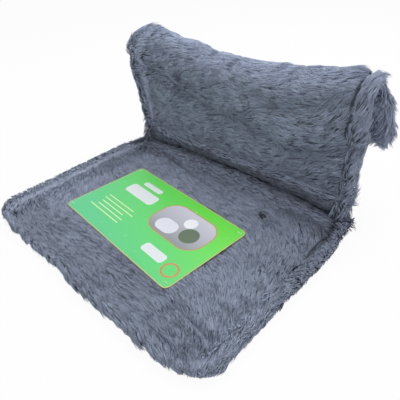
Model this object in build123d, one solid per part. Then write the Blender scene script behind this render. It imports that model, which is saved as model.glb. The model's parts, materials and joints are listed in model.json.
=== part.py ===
from build123d import *
import math
import os

# Radiator cat hammock: a plush-covered bed on a bent rod frame that hangs on a radiator by two hooks.
# Millimetres. +X is right seen from the front, +Y is towards the radiator, +Z is up.
# The model is drawn with Y = 0 at the seat's front face and is moved to its box centre at the end.

# Driving sizes of the cover
cover_width = 470.0
back_face_place = 355.0
back_thickness = 22.0
seat_thickness = 26.0
top_height = 260.0
plush_thickness = 9.2
lining_thickness = 2.0
band_width = 13.0
front_corner_radius = 38.0
crease_reach = 42.0
axis_cover = 6.0
seam_gap = 0.3
top_sag = 27.0
seam_draw = 4.0
crown_rise = 2.0
channel_depth = 4.5
least_bow = 0.2

# Driving sizes of the frame
rod_diameter = 6.0
rail_inset = 23.0
rail_centre_height = 9.0
front_rail_place = 18.0
rail_corner_radius = 40.0
arm_offset = 6.5
rod_clearance = 0.6
hook_bend_radius = 27.0
hook_splay_degrees = 27.0
hook_leg_length = 124.0
hinge_tube_diameter = 10.0
hinge_tube_length = 24.0
running_clearance = 0.05
bracket_thickness = 3.0
bracket_reach_front = 9.0
bracket_reach_up = 9.0
stop_gap = 0.3
stop_tab_height = 14.0
stop_tab_drop = 8.0
washer_thickness = 1.5
washer_diameter = 12.0
washer_play = 0.25
cap_diameter = 10.0
cap_length = 5.0
cap_wall = 1.5

# Driving sizes of the wadding, closure and card
wadding_inset = 6.0
wadding_side_gap = 10.0
strip_width = 20.0
strip_thickness = 1.0
strip_arm_gap = 16.5
strip_edge_gap = 6.0
hem_drop = 12.0
card_length = 282.0
card_width = 166.0
card_thickness = 1.0
card_corner_radius = 9.0
card_turn_degrees = -5.4
card_corner_x = -158.0
card_corner_y = 88.0
pin_bar_length = 7.0
pin_bar_diameter = 1.2
pin_shaft_diameter = 0.8
pin_inset = 9.0
pin_hole_gap = 0.2

# Derived places
half_width = cover_width / 2
panel_half = half_width - band_width
panel_edge = panel_half - seam_gap
rod_radius = rod_diameter / 2
axis_y = back_face_place + axis_cover
axis_z = seat_thickness - axis_cover
rear_face = back_thickness - axis_cover
seat_tail = axis_y + rear_face
rail_x = half_width - rail_inset
rail_end = axis_y + arm_offset + rod_radius + stop_gap + bracket_thickness
seat_pad_rear = axis_y - crease_reach
seat_plush_under = seat_thickness - plush_thickness
half_turn = 180.0
leg_turn = hook_splay_degrees
splay = math.radians(leg_turn)
skin_outer = arm_offset + axis_cover
skin_inner = rear_face - arm_offset
rod_room = rod_radius + rod_clearance
bend_t = arm_offset + hook_bend_radius
bend_s = top_height - axis_z - hook_bend_radius - skin_outer
sag_to_ease = 1 / math.sin(splay / 2) - 1
ease_drop = 1 / math.tan(splay / 2)
bracket_inner = rail_x - bracket_thickness / 2
bracket_outer = rail_x + bracket_thickness / 2
washer_outer = bracket_inner - washer_play
tube_outer = washer_outer - washer_thickness - washer_play
arm_half_spacing = tube_outer - hinge_tube_length / 2
strip_half_length = arm_half_spacing - strip_arm_gap
axle_half = bracket_outer + cap_length - cap_wall
strip_low = axis_z + crease_reach + strip_edge_gap
strip_front = seat_tail - 2 * strip_thickness
card_bottom = seat_thickness + crown_rise + seam_gap
pin_hole = pin_shaft_diameter / 2 + pin_hole_gap

# Places along the seat's depth, as shares of the depth between the front band and the crease
roll_share = 0.07
channel_share = 0.14
channel_half_share = 0.045

# Places along the width where the sections stand, as shares of the panel's half width
seat_station_shares = (-1.0, -0.96, -0.88, -0.75, -0.5, 0.0, 0.45, 0.75, 0.88, 0.96, 1.0)
seat_crown_shares = (0.0, 0.5, 0.85, 1.0, 1.0, 1.0, 1.0, 1.0, 0.85, 0.5, 0.0)
rear_fold_place_shares = (0.94, 0.94, 0.93, 0.92, 0.90, 0.84, 0.80, 0.79, 0.79, 0.79, 0.79)
rear_fold_depth_shares = (0.2, 0.6, 1.0, 1.0, 1.0, 0.8, 0.45, 0.2, 0.1, 0.0, 0.0)
back_station_shares = (-1.0, -0.86, -0.7, -0.5, -0.25, 0.0, 0.2, 0.4, 0.6, 0.74, 0.86, 1.0)
sag_end_share = 0.86
low_fold_place_shares = (0.84, 0.78, 0.73, 0.66, 0.63, 0.60, 0.57, 0.53, 0.51, 0.52, 0.56, 0.62)
high_fold_place_shares = (0.95, 0.95, 0.94, 0.93, 0.93, 0.92, 0.90, 0.87, 0.86, 0.87, 0.90, 0.93)
high_fold_depth_shares = (0.0, 0.2, 0.4, 0.6, 0.8, 1.0, 1.0, 1.0, 1.0, 0.9, 0.8, 0.6)
bulge_shares = (0.1, 0.5, 0.8, 1.0, 1.0, 1.0, 1.0, 1.0, 0.9, 0.8, 0.5, 0.1)
foot_share = 0.3
crease_bow_share = 1.5
corner_bow_share = 1.6
corner_rise_share = 0.7

parts = {}


def section(x, start, *steps):
    """A face in the plane X = x: each step is a point (y, z), or a pair (mid point, end point) of an arc."""
    here, edges = start, []
    for step in steps:
        if isinstance(step[0], tuple):
            mid, end = step
            edges.append(Edge.make_three_point_arc((x, *here), (x, *mid), (x, *end)))
        else:
            end = step
            edges.append(Edge.make_line((x, *here), (x, *end)))
        here = end
    if here != start:
        edges.append(Edge.make_line((x, *here), (x, *start)))
    return Face(Wire(edges))


def bowed(start, end, rise):
    """The arc from start to end whose middle stands to the left of the chord by rise."""
    rise = math.copysign(max(abs(rise), least_bow), rise)
    run = math.dist(start, end)
    along = ((end[0] - start[0]) / run, (end[1] - start[1]) / run)
    mid = ((start[0] + end[0]) / 2 - along[1] * rise, (start[1] + end[1]) / 2 + along[0] * rise)
    return (mid, end)


def loft_x(sections):
    """One solid through sections that stand along X."""
    return loft(sections, ruled=True)


def block(x0, x1, y0, y1, z0, z1):
    """A plain box between two corners."""
    return Pos((x0 + x1) / 2, (y0 + y1) / 2, (z0 + z1) / 2) * Box(x1 - x0, y1 - y0, z1 - z0)


def rod_x(x0, x1, y, z, radius):
    """A round bar along X."""
    bar = Cylinder(radius, x1 - x0)
    return Pos((x0 + x1) / 2, y, z) * Rot(0, 90, 0) * bar


def mirrored(solid):
    """The same piece on the other side."""
    return mirror(solid, Plane.YZ)


def at_axis(point):
    """A place given from the hinge axis, t to the rear and s up, as Y and Z."""
    t, s = point
    return (axis_y + t, axis_z + s)


def rounded_plan(half, front, rear, radius, z0, z1):
    """A flat slab whose two front corners are rounded in plan."""
    slab = block(-half, half, front, rear, z0, z1)
    corners = [e for e in slab.edges().filter_by(Axis.Z) if e.center().Y < (front + rear) / 2]
    return fillet(corners, radius)


# The hook's layers follow one line: up the back, round the bend and down the splayed leg.
# An offset is measured outwards from the rod's centre line, and ease is how far the bend relaxes.
def bend_centre(ease):
    return (bend_t + ease, bend_s - ease * ease_drop)


def bend_point(offset, ease, degrees):
    t, s = bend_centre(ease)
    radius = hook_bend_radius + offset + ease
    a = math.radians(degrees)
    return at_axis((t + radius * math.cos(a), s + radius * math.sin(a)))


def leg_end(offset, beyond=0.0):
    run = hook_leg_length + beyond
    t = bend_t + (hook_bend_radius + offset) * math.cos(splay) + run * math.sin(splay)
    s = bend_s + (hook_bend_radius + offset) * math.sin(splay) - run * math.cos(splay)
    return at_axis((t, s))


def bend_arc(offset, ease, start, end):
    return (bend_point(offset, ease, (start + end) / 2), bend_point(offset, ease, end))


def back_stations():
    """Each section's place and how far its bend relaxes as the top edge sags between the arms."""
    for share in back_station_shares:
        sag = top_sag * max(0.0, 1 - (share / sag_end_share) ** 2)
        yield share * panel_edge, sag / sag_to_ease


# Seat frame: one bent rod, two brackets, the axle and its small parts
def make_seat_frame_rail():
    bend_end = front_rail_place + rail_corner_radius
    turn = rail_corner_radius * (1 - math.sqrt(0.5))
    cross_end = rail_x - rail_corner_radius
    z = rail_centre_height
    left = Edge.make_line((-rail_x, rail_end, z), (-rail_x, bend_end, z))
    left_bend = Edge.make_three_point_arc(
        (-rail_x, bend_end, z),
        (-rail_x + turn, front_rail_place + turn, z),
        (-cross_end, front_rail_place, z),
    )
    cross = Edge.make_line((-cross_end, front_rail_place, z), (cross_end, front_rail_place, z))
    right_bend = Edge.make_three_point_arc(
        (cross_end, front_rail_place, z),
        (rail_x - turn, front_rail_place + turn, z),
        (rail_x, bend_end, z),
    )
    right = Edge.make_line((rail_x, bend_end, z), (rail_x, rail_end, z))
    path = Wire([left, left_bend, cross, right_bend, right])
    start = Plane(origin=(-rail_x, rail_end, z), z_dir=(0, -1, 0))
    return sweep(start * Circle(rod_radius), path=path)


def make_right_bracket(rail):
    front = axis_y - bracket_reach_front
    tab_front = rail_end - bracket_thickness
    top = axis_z + bracket_reach_up
    side = block(bracket_inner, bracket_outer, front, rail_end, rail_centre_height, top)
    tab_side = arm_half_spacing - rod_radius
    low = axis_z - stop_tab_drop
    tab = block(tab_side, bracket_outer, tab_front, rail_end, low, axis_z + stop_tab_height)
    hole = rod_x(bracket_inner - rod_diameter, bracket_outer + rod_diameter, axis_y, axis_z, rod_radius)
    return (side + tab) - hole - rail


def make_small_axle_parts():
    washer = rod_x(washer_outer - washer_thickness, washer_outer, axis_y, axis_z, washer_diameter / 2)
    washer -= rod_x(-axle_half, axle_half, axis_y, axis_z, rod_radius + running_clearance)
    cap = rod_x(bracket_outer, bracket_outer + cap_length, axis_y, axis_z, cap_diameter / 2)
    cap = fillet(cap.edges().sort_by(Axis.X)[-1], cap_wall)
    cap -= rod_x(0, axle_half, axis_y, axis_z, rod_radius)
    return washer, cap


rail = make_seat_frame_rail()
right_bracket = make_right_bracket(rail)
washer, cap = make_small_axle_parts()
parts["seat_frame_rail"] = rail
parts["right_axle_bracket"] = right_bracket
parts["left_axle_bracket"] = mirrored(right_bracket)
parts["hinge_axle"] = rod_x(-axle_half, axle_half, axis_y, axis_z, rod_radius)
parts["axle_washers"] = Compound(children=[washer, mirrored(washer)])
parts["axle_end_caps"] = Compound(children=[cap, mirrored(cap)])


# Hook frame: two arms that turn on the axle, joined behind the radiator by one rod
def make_hook_cross_rod():
    y, z = leg_end(0)
    return rod_x(-arm_half_spacing - rod_radius, arm_half_spacing + rod_radius, y, z, rod_radius)


def make_right_arm(cross_rod):
    x = arm_half_spacing
    foot = (x, *at_axis((arm_offset, 0)))
    up = (x, *bend_point(0, 0, half_turn))
    mid, over = bend_arc(0, 0, half_turn, leg_turn)
    path = Wire(
        [
            Edge.make_line(foot, up),
            Edge.make_three_point_arc(up, (x, *mid), (x, *over)),
            Edge.make_line((x, *over), (x, *leg_end(0))),
        ]
    )
    arm = sweep(Plane(origin=foot, z_dir=(0, 0, 1)) * Circle(rod_radius), path=path)
    tube = rod_x(tube_outer - hinge_tube_length, tube_outer, axis_y, axis_z, hinge_tube_diameter / 2)
    bore = rod_x(0, half_width, axis_y, axis_z, rod_radius + running_clearance)
    return (arm + tube) - bore - cross_rod


cross_rod = make_hook_cross_rod()
right_arm = make_right_arm(cross_rod)
parts["hook_cross_rod"] = cross_rod
parts["right_hook_arm"] = right_arm
parts["left_hook_arm"] = mirrored(right_arm)


# Seat cover: base lining, wadding, crowned plush with two channels, and the bands round its edge
def make_seat_top_plush():
    front = band_width + seam_gap
    rear = seat_pad_rear - seam_gap
    low = seat_plush_under
    edge_top = seat_thickness - seam_draw
    depth = rear - front
    crest_place = front + depth * roll_share
    channel_place = front + depth * channel_share
    channel_half = depth * channel_half_share
    sections = []
    rows = zip(seat_station_shares, seat_crown_shares, rear_fold_place_shares, rear_fold_depth_shares)
    for share, full, fold_share, fold_depth in rows:
        crest = edge_top + (seam_draw + crown_rise) * full
        fold = front + depth * fold_share
        brow = (crest_place, crest)
        bank_front = (channel_place - channel_half, crest)
        bank_rear = (channel_place + channel_half, crest)
        fold_front = (fold - channel_half, crest)
        fold_rear = (fold + channel_half, crest)
        rear_top = (rear, edge_top + seam_draw * full)
        sections.append(
            section(
                share * panel_edge,
                (front, low),
                (front, edge_top),
                bowed((front, edge_top), brow, seam_draw / 2 * full),
                bank_front,
                bowed(bank_front, bank_rear, -channel_depth * full),
                fold_front,
                bowed(fold_front, fold_rear, -channel_depth * fold_depth * full),
                rear_top,
                (rear, low),
            )
        )
    pad = loft_x(sections)
    inner_radius = front_corner_radius - band_width
    plan = rounded_plan(panel_edge, front, rear, inner_radius, 0, seat_thickness * 2)
    return pad & plan


def band_profile(plane):
    """The stuffed edge in section: flat on its seam and underneath, full outside."""
    top = seat_thickness - seam_draw
    foot = band_width * foot_share
    outline = Wire(
        [
            Edge.make_line((0, 0), (foot, 0)),
            Edge.make_three_point_arc((foot, 0), (band_width, top / 2), (foot, top)),
            Edge.make_line((foot, top), (0, top)),
            Edge.make_line((0, top), (0, 0)),
        ]
    )
    return plane * Face(outline)


def make_right_seat_band():
    start = Plane(origin=(panel_half, front_corner_radius, 0), x_dir=(1, 0, 0), z_dir=(0, -1, 0))
    return extrude(band_profile(start), -(seat_tail - front_corner_radius))


def make_front_band():
    inner_radius = front_corner_radius - band_width
    straight = panel_half - inner_radius
    turn = inner_radius * (1 - math.sqrt(0.5))
    path = Wire(
        [
            Edge.make_three_point_arc(
                (panel_half, front_corner_radius, 0),
                (panel_half - turn, band_width + turn, 0),
                (straight, band_width, 0),
            ),
            Edge.make_line((straight, band_width, 0), (-straight, band_width, 0)),
            Edge.make_three_point_arc(
                (-straight, band_width, 0),
                (-panel_half + turn, band_width + turn, 0),
                (-panel_half, front_corner_radius, 0),
            ),
        ]
    )
    start = Plane(origin=(panel_half, front_corner_radius, 0), x_dir=(1, 0, 0), z_dir=(0, -1, 0))
    return sweep(band_profile(start), path=path)


def make_seat_wadding():
    front = front_rail_place + wadding_inset
    half = rail_x - wadding_inset
    rear = axis_y - hinge_tube_diameter - lining_thickness
    radius = rail_corner_radius - wadding_inset
    return rounded_plan(half, front, rear, radius, lining_thickness, seat_plush_under)


def make_base_lining():
    radius = front_corner_radius - band_width
    front = band_width + seam_gap
    return rounded_plan(panel_edge, front, seat_tail, radius, 0, lining_thickness)


right_seat_band = make_right_seat_band()
parts["seat_base_lining"] = make_base_lining()
parts["seat_wadding"] = make_seat_wadding()
parts["seat_top_plush"] = make_seat_top_plush()
parts["seat_front_band"] = make_front_band()
parts["seat_right_band"] = right_seat_band
parts["seat_left_band"] = mirrored(right_seat_band)


# Soft corner between seat and back: the one cover runs through here and bends with the fold
def make_crease_cover():
    tube_room = hinge_tube_diameter / 2 + axis_cover
    bow = tube_room * crease_bow_share
    low = seat_plush_under - axis_z
    rear = arm_offset - rod_room
    sections = []
    for x in (-panel_edge, panel_edge):
        sections.append(
            section(
                x,
                at_axis((-crease_reach, low)),
                at_axis((-tube_room, low)),
                at_axis((-tube_room, tube_room)),
                at_axis((rear, tube_room)),
                at_axis((rear, crease_reach)),
                at_axis((-axis_cover, crease_reach)),
                (at_axis((-bow, bow)), at_axis((-crease_reach, axis_cover))),
            )
        )
    return loft_x(sections)


def make_right_corner_cover():
    low = seat_thickness - seam_draw - axis_z + seam_gap
    top = crease_reach - seam_gap
    fore = crease_reach / 2
    bow = (-axis_cover * corner_bow_share, fore * corner_rise_share)
    sections = []
    for x in (panel_half, half_width):
        sections.append(
            section(
                x,
                at_axis((-fore, low)),
                at_axis((rear_face, low)),
                at_axis((rear_face, top)),
                at_axis((-axis_cover, top)),
                (at_axis(bow), at_axis((-fore, low))),
            )
        )
    return loft_x(sections)


def make_rear_corner_cover():
    low = lining_thickness + seam_gap
    front = rail_end + seam_gap
    return block(-panel_edge, panel_edge, front, seat_tail, low, axis_z + crease_reach - seam_gap)


right_corner = make_right_corner_cover()
parts["crease_cover"] = make_crease_cover()
parts["right_corner_cover"] = right_corner
parts["left_corner_cover"] = mirrored(right_corner)
parts["rear_corner_cover"] = make_rear_corner_cover()


# Back cover: front plush with two draped folds, wadding, rear plush and the closure at its foot
def make_back_front_plush():
    rear = arm_offset - rod_room
    low = crease_reach + seam_gap
    sections = []
    rows = zip(
        back_stations(),
        low_fold_place_shares,
        high_fold_place_shares,
        high_fold_depth_shares,
        bulge_shares,
    )
    for (x, ease), low_fold, high_fold, high_depth, bulge in rows:
        top = bend_centre(ease)[1] - seam_gap
        height = top - low
        face = -axis_cover
        swell = crown_rise * bulge
        foot = (face, low)
        low_valley = (face, low + height * low_fold)
        high_valley = (face + swell * high_depth, low + height * high_fold)
        corners = (foot, low_valley, high_valley, (face, top))
        steps = [bowed(p, q, swell * 2) for p, q in zip(corners, corners[1:])]
        sections.append(
            section(
                x,
                at_axis((rear, low)),
                at_axis(foot),
                *((at_axis(mid), at_axis(end)) for mid, end in steps),
                at_axis((rear, top)),
            )
        )
    return loft_x(sections)


def make_back_rear_plush():
    front = rod_room + arm_offset
    low = crease_reach + seam_gap
    sections = []
    for x, ease in back_stations():
        top = bend_centre(ease)[1] - seam_gap
        corners = ((front, low), (rear_face, low), (rear_face, top), (front, top))
        sections.append(section(x, *(at_axis(c) for c in corners)))
    recess_half = strip_half_length + seam_gap
    recess_low = strip_low - seam_gap
    recess_top = strip_low + strip_width + seam_gap
    recess = block(-recess_half, recess_half, strip_front, seat_tail + rod_diameter, recess_low, recess_top)
    return loft_x(sections) - recess


def make_back_wadding():
    half = arm_half_spacing - wadding_side_gap
    front, low = at_axis((arm_offset - rod_radius, crease_reach + seam_gap))
    rear, top = at_axis((arm_offset + rod_radius, bend_s - top_sag - hem_drop))
    return block(-half, half, front, rear, low, top)


def make_closure_strips():
    """The looped strip sewn in the recess, and the hooked strip pressed on it."""
    top = strip_low + strip_width
    strips = []
    for front in (strip_front, strip_front + strip_thickness):
        rear = front + strip_thickness
        strips.append(block(-strip_half_length, strip_half_length, front, rear, strip_low, top))
    return strips


# Cover of the hook: skin over the bend, flap down the splayed leg, its lining, wadding and hem
def make_bend_layer(outer, inner):
    sections = []
    for x, ease in back_stations():
        sections.append(
            section(
                x,
                bend_point(outer, ease, half_turn),
                bend_arc(outer, ease, half_turn, leg_turn),
                bend_point(inner, ease, leg_turn),
                bend_arc(inner, ease, leg_turn, half_turn),
            )
        )
    return loft_x(sections)


def make_flap_layer(outer, inner):
    sections = []
    for x, ease in back_stations():
        sections.append(
            section(
                x,
                bend_point(outer, ease, leg_turn),
                leg_end(outer),
                leg_end(inner),
                bend_point(inner, ease, leg_turn),
            )
        )
    return loft_x(sections)


def make_flap_wadding():
    half = arm_half_spacing - wadding_side_gap
    ease = top_sag / sag_to_ease
    sections = []
    for x in (-half, half):
        sections.append(
            section(
                x,
                bend_point(rod_radius, ease, leg_turn),
                leg_end(rod_radius, -rod_room),
                leg_end(-rod_radius, -rod_room),
                bend_point(-rod_radius, ease, leg_turn),
            )
        )
    return loft_x(sections)


def make_flap_hem():
    over = rod_room
    sections = []
    for x in (-panel_edge, panel_edge):
        sections.append(
            section(
                x,
                leg_end(skin_outer - rod_radius, over),
                (leg_end(0, over + hem_drop), leg_end(-skin_inner, over)),
            )
        )
    return loft_x(sections)


def make_right_side_band():
    low = crease_reach + seam_gap
    face = at_axis((-axis_cover, low))
    back = at_axis((rear_face, low))
    outer, inner = skin_outer, -skin_inner
    under = (leg_end((outer + inner) / 2, rod_room + hem_drop), leg_end(inner, rod_room))
    outline = section(
        0,
        face,
        bend_point(outer, 0, half_turn),
        bend_arc(outer, 0, half_turn, leg_turn),
        leg_end(outer, rod_room),
        under,
        bend_point(inner, 0, leg_turn),
        bend_arc(inner, 0, leg_turn, half_turn),
        back,
    )
    band = Pos(panel_half, 0, 0) * extrude(outline, band_width, dir=(1, 0, 0))
    outside = band.faces().sort_by(Axis.X)[-1]
    return fillet(outside.edges(), seam_draw)


side_band = make_right_side_band()
parts["back_front_plush"] = make_back_front_plush()
parts["back_wadding"] = make_back_wadding()
parts["back_rear_plush"] = make_back_rear_plush()
parts["hook_top_plush"] = make_bend_layer(skin_outer, rod_room)
parts["hook_inner_lining"] = make_bend_layer(-rod_room, -skin_inner)
parts["flap_rear_plush"] = make_flap_layer(skin_outer, rod_room)
parts["flap_front_lining"] = make_flap_layer(-rod_room, -skin_inner)
parts["flap_wadding"] = make_flap_wadding()
parts["flap_hem"] = make_flap_hem()
parts["right_side_band"] = side_band
parts["left_side_band"] = mirrored(side_band)
parts["closure_loop_strip"], parts["closure_hook_strip"] = make_closure_strips()


# Card pinned to the seat through its four corners
def on_card(solid):
    """Moves a piece from the card's own corner to its place on the seat."""
    return Pos(card_corner_x, card_corner_y, card_bottom) * Rot(0, 0, card_turn_degrees) * solid


def pin_places():
    for x in (pin_inset, card_length - pin_inset):
        for y in (pin_inset, card_width - pin_inset):
            yield x, y


def make_label_card():
    blank = Pos(card_length / 2, card_width / 2, card_thickness / 2)
    blank *= Box(card_length, card_width, card_thickness)
    card = fillet(blank.edges().filter_by(Axis.Z), card_corner_radius)
    for x, y in pin_places():
        card -= Pos(x, y, card_thickness / 2) * Cylinder(pin_hole, card_thickness * 2)
    return on_card(card)


def make_tag_pins():
    pins = []
    for x, y in pin_places():
        bar_height = card_thickness + pin_bar_diameter / 2
        bar = Pos(x, y, bar_height) * Rot(0, 90, 45) * Cylinder(pin_bar_diameter / 2, pin_bar_length)
        shaft_foot = -seam_gap
        shaft = Pos(x, y, (shaft_foot + bar_height) / 2)
        shaft *= Cylinder(pin_shaft_diameter / 2, bar_height - shaft_foot)
        pins.append(on_card(bar + shaft))
    return Compound(children=pins)


parts["label_card"] = make_label_card()
parts["card_tag_pins"] = make_tag_pins()


# The whole stands on its base with the origin under the middle of its box
def main():
    boxes = [solid.bounding_box() for solid in parts.values()]
    low = [min(getattr(box.min, axis) for box in boxes) for axis in "XYZ"]
    high = [max(getattr(box.max, axis) for box in boxes) for axis in "XYZ"]
    shift = (-(low[0] + high[0]) / 2, -(low[1] + high[1]) / 2, -low[2])
    os.makedirs("parts", exist_ok=True)
    for name, solid in parts.items():
        export_step(Pos(*shift) * solid, os.path.join("parts", name + ".step"))
    print("moved by", [round(v, 3) for v in shift])
    print("box", [round(b - a, 2) for a, b in zip(low, high)])


main()
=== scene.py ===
import json
import math

import bmesh
import bpy
import numpy as np
from mathutils import Matrix, Vector, kdtree


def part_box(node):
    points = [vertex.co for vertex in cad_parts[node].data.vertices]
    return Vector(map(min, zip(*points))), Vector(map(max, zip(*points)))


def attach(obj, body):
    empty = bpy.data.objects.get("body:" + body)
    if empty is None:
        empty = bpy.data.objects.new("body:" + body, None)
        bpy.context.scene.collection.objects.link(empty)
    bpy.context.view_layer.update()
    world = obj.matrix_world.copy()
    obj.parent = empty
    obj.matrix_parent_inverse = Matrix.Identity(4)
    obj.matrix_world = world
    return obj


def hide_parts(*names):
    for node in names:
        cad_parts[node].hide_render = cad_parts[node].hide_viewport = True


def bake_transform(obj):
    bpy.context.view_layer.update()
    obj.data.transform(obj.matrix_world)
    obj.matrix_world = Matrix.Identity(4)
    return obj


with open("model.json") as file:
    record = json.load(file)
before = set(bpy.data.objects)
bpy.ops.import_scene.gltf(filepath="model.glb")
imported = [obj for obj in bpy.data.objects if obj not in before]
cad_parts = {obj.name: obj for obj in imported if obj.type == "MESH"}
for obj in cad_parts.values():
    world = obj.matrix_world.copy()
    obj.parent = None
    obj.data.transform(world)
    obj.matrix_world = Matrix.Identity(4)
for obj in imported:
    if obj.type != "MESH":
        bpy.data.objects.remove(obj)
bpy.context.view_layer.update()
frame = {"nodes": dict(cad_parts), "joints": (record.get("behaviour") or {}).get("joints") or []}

MM = 0.001


def box(name):
    """The lowest and highest X, Y and Z of a solid, in millimetres."""
    return [[place / MM for place in corner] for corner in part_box(name)]


# Places read from the frame
AXIS_Y, AXIS_Z = (place / MM for place in frame["joints"][0]["pos_m"][1:])
(_, SEAT_FRONT, _), (HALF, _, SEAM_HEIGHT) = box("seat_front_band")
PANEL = box("back_front_plush")[1][0]
BAND = HALF - PANEL
CREST = box("seat_wadding")[1][2] + 11.2
TAIL = box("seat_base_lining")[1][1]
CARD_LOW, CARD_HIGH = (corner[2] for corner in box("label_card"))

# Sizes of the hook's line, the same as the construction's
ARM_OFFSET = 6.5
SKIN_OUTER = 12.5
SKIN_INNER = 9.5
BEND_RADIUS = 27
BEND_HEIGHT = 200.5
SPLAY = math.radians(27)
LEG_LENGTH = 124
HEM_DROP = 15.6
TOP_SAG = 27
SAG_END_SHARE = 0.86
SAG_TO_EASE = 1 / math.sin(SPLAY / 2) - 1
EASE_DROP = 1 / math.tan(SPLAY / 2)
CREASE_REACH = 42

# The card's own corner, turn and size
CARD_X, CARD_Y = -158, 88 + SEAT_FRONT
CARD_TURN = math.radians(-5.4)
CARD_LENGTH = 282
CARD_WIDTH = 166
CARD_ROUND = 9

# Depth of the pile that a cover leaves room for, and the gap between pile and floor
UNDER = 3.5
FLOOR_GAP = 0.4
SEED = 41


# Soft steps, humps and wandering fields
def smooth(t):
    t = np.clip(t, 0, 1)
    return t * t * (3 - 2 * t)


def soft(value, start, end):
    """0 at start and 1 at end, with a soft climb between them."""
    return smooth((value - start) / (end - start))


def hump(value, reach):
    """1 where the value is 0, falling away over the reach."""
    return np.exp(-((value / reach) ** 2))


def unit(v):
    return v / np.maximum(np.linalg.norm(v, axis=-1, keepdims=True), 1e-12)


def ripple(seed, scale, count=28):
    """A smooth random field of unit strength whose swings are about scale long."""
    rng = np.random.default_rng(seed)
    waves = rng.normal(size=(count, 3)) * (2.2 / scale)
    shifts = rng.uniform(0, 2 * math.pi, count)
    return lambda p: np.sin(np.asarray(p) @ waves.T + shifts).sum(-1) * math.sqrt(2 / count)


LUMPS, SMALL_LUMPS = ripple(7, 55), ripple(8, 22)
WANDER, SMALL_WANDER = ripple(21, 70), ripple(22, 18)
STREAKS = ripple(23, 5)


# Objects and meshes
def new_object(name, data):
    made = bpy.data.objects.new(name, data)
    bpy.context.scene.collection.objects.link(made)
    return made


def new_mesh(name, points, faces, smooth_faces=True):
    """An object from points in millimetres and a list of equal-sided face arrays."""
    mesh = bpy.data.meshes.new(name)
    groups = [np.asarray(f, np.int32) for f in faces]
    corners = np.concatenate([g.ravel() for g in groups])
    sizes = np.concatenate([np.full(len(g), g.shape[1]) for g in groups])
    mesh.vertices.add(len(points))
    mesh.vertices.foreach_set("co", (points * MM).astype(np.float32).ravel())
    mesh.loops.add(len(corners))
    mesh.loops.foreach_set("vertex_index", corners)
    mesh.polygons.add(len(sizes))
    mesh.polygons.foreach_set("loop_start", (np.cumsum(sizes) - sizes).astype(np.int32))
    mesh.polygons.foreach_set("use_smooth", np.full(len(sizes), smooth_faces))
    mesh.update(calc_edges=True)
    mesh.validate()
    return new_object(name, mesh)


def dress(made, body, finish, slot, *solids):
    """Gives a piece its body, or bakes its place into its points when the body is not a name, then its
    material, and hides the solids that it stands for. The slot is not used.
    """
    if isinstance(body, str):
        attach(made, body)
    else:
        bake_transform(made)
    made.data.materials.append(finish)
    if solids:
        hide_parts(*solids)
    return made


def mark(mesh, name, values, kind="FLOAT", field="value"):
    """Named values at the points of a mesh."""
    layer = mesh.attributes.new(name, kind, "POINT")
    layer.data.foreach_set(field, np.asarray(values, np.float32).ravel())


def add_map(mesh, name, places):
    """A flat map, with a place for each corner of each face."""
    mesh.uv_layers.new(name=name).data.foreach_set("uv", places.astype(np.float32).ravel())


def tidy(made, weld=0.02 * MM):
    """Welds points that coincide and turns every face outwards."""
    bm = bmesh.new()
    bm.from_mesh(made.data)
    bmesh.ops.remove_doubles(bm, verts=bm.verts, dist=weld)
    bmesh.ops.dissolve_degenerate(bm, edges=bm.edges, dist=weld / 2)
    bmesh.ops.recalc_face_normals(bm, faces=bm.faces)
    for face in bm.faces:
        face.smooth = True
    bm.to_mesh(made.data)
    bm.free()
    return made


def grid_quads(rows, columns, start=0, around=False):
    """Quads over a grid of points. With around, the last column joins the first."""
    i, j = np.meshgrid(np.arange(rows - 1), np.arange(columns if around else columns - 1), indexing="ij")
    k = (j + 1) % columns
    quads = [i * columns + j, i * columns + k, (i + 1) * columns + k, (i + 1) * columns + j]
    return np.stack(quads, -1).reshape(-1, 4) + start


def grid_border(rows, columns):
    """The points round the border of a grid, in order."""
    index = np.arange(rows * columns).reshape(rows, columns)
    return np.concatenate([index[0, :-1], index[:-1, -1], index[-1, :0:-1], index[:0:-1, 0]])


def slab(upper, lower):
    """Points and quads of a closed slab between two grids of points."""
    rows, columns = upper.shape[:2]
    size, border = rows * columns, grid_border(rows, columns)
    walls = np.stack([border, border + size]).ravel()[grid_quads(2, len(border), around=True)]
    quads = [grid_quads(rows, columns), grid_quads(rows, columns, size)[:, ::-1], walls]
    return np.concatenate([upper.reshape(-1, 3), lower.reshape(-1, 3)]), [np.concatenate(quads)]


def quad_normals(p):
    return np.cross(p[:, 2] - p[:, 0], p[:, 3] - p[:, 1])


class Skin:
    """The cloth that carries the pile: points, outward normals, quads and named values per point."""

    def __init__(self, points, quads, **values):
        self.points, self.quads, self.values = points, quads, values
        p = points[quads]
        face, total = quad_normals(p), np.zeros_like(points)
        for corner in range(4):
            np.add.at(total, quads[:, corner], face)
        inwards = np.einsum("ij,ij->", p.mean(1) - points.mean(0), face) < 0
        self.normals = unit(-total if inwards else total)

    def sample(self, count, weight, rng):
        """Random places on the skin, as many per area as weight says."""
        area = np.linalg.norm(quad_normals(self.points[self.quads]), axis=1)
        chance = area * weight[self.quads].mean(1)
        face = rng.choice(len(area), count, p=chance / chance.sum())
        u, v = rng.random((2, count, 1))
        shares = np.concatenate([(1 - u) * (1 - v), u * (1 - v), u * v, (1 - u) * v], 1)
        blend = lambda a: np.einsum("nk,nk...->n...", shares, a[self.quads[face]])
        values = {name: blend(a) for name, a in self.values.items()}
        return blend(self.points), unit(blend(self.normals)), values


# Pile: tapered locks that lie along the nap and gather into tufts
RING_SHARES = np.array([0.0, 0.38, 0.76, 1.0])
RING_WIDTHS = np.array([0.75, 1.0, 0.66])
RINGS = len(RING_WIDTHS)
LOCK_POINTS = RINGS * 3 + 1
LOCKS_PER_PIECE = 12000
LOCKS_PER_TUFT = 5.5
ROOT_TONE_AND_SHADE = 0.78
FINE_SHARE = 0.5


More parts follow.
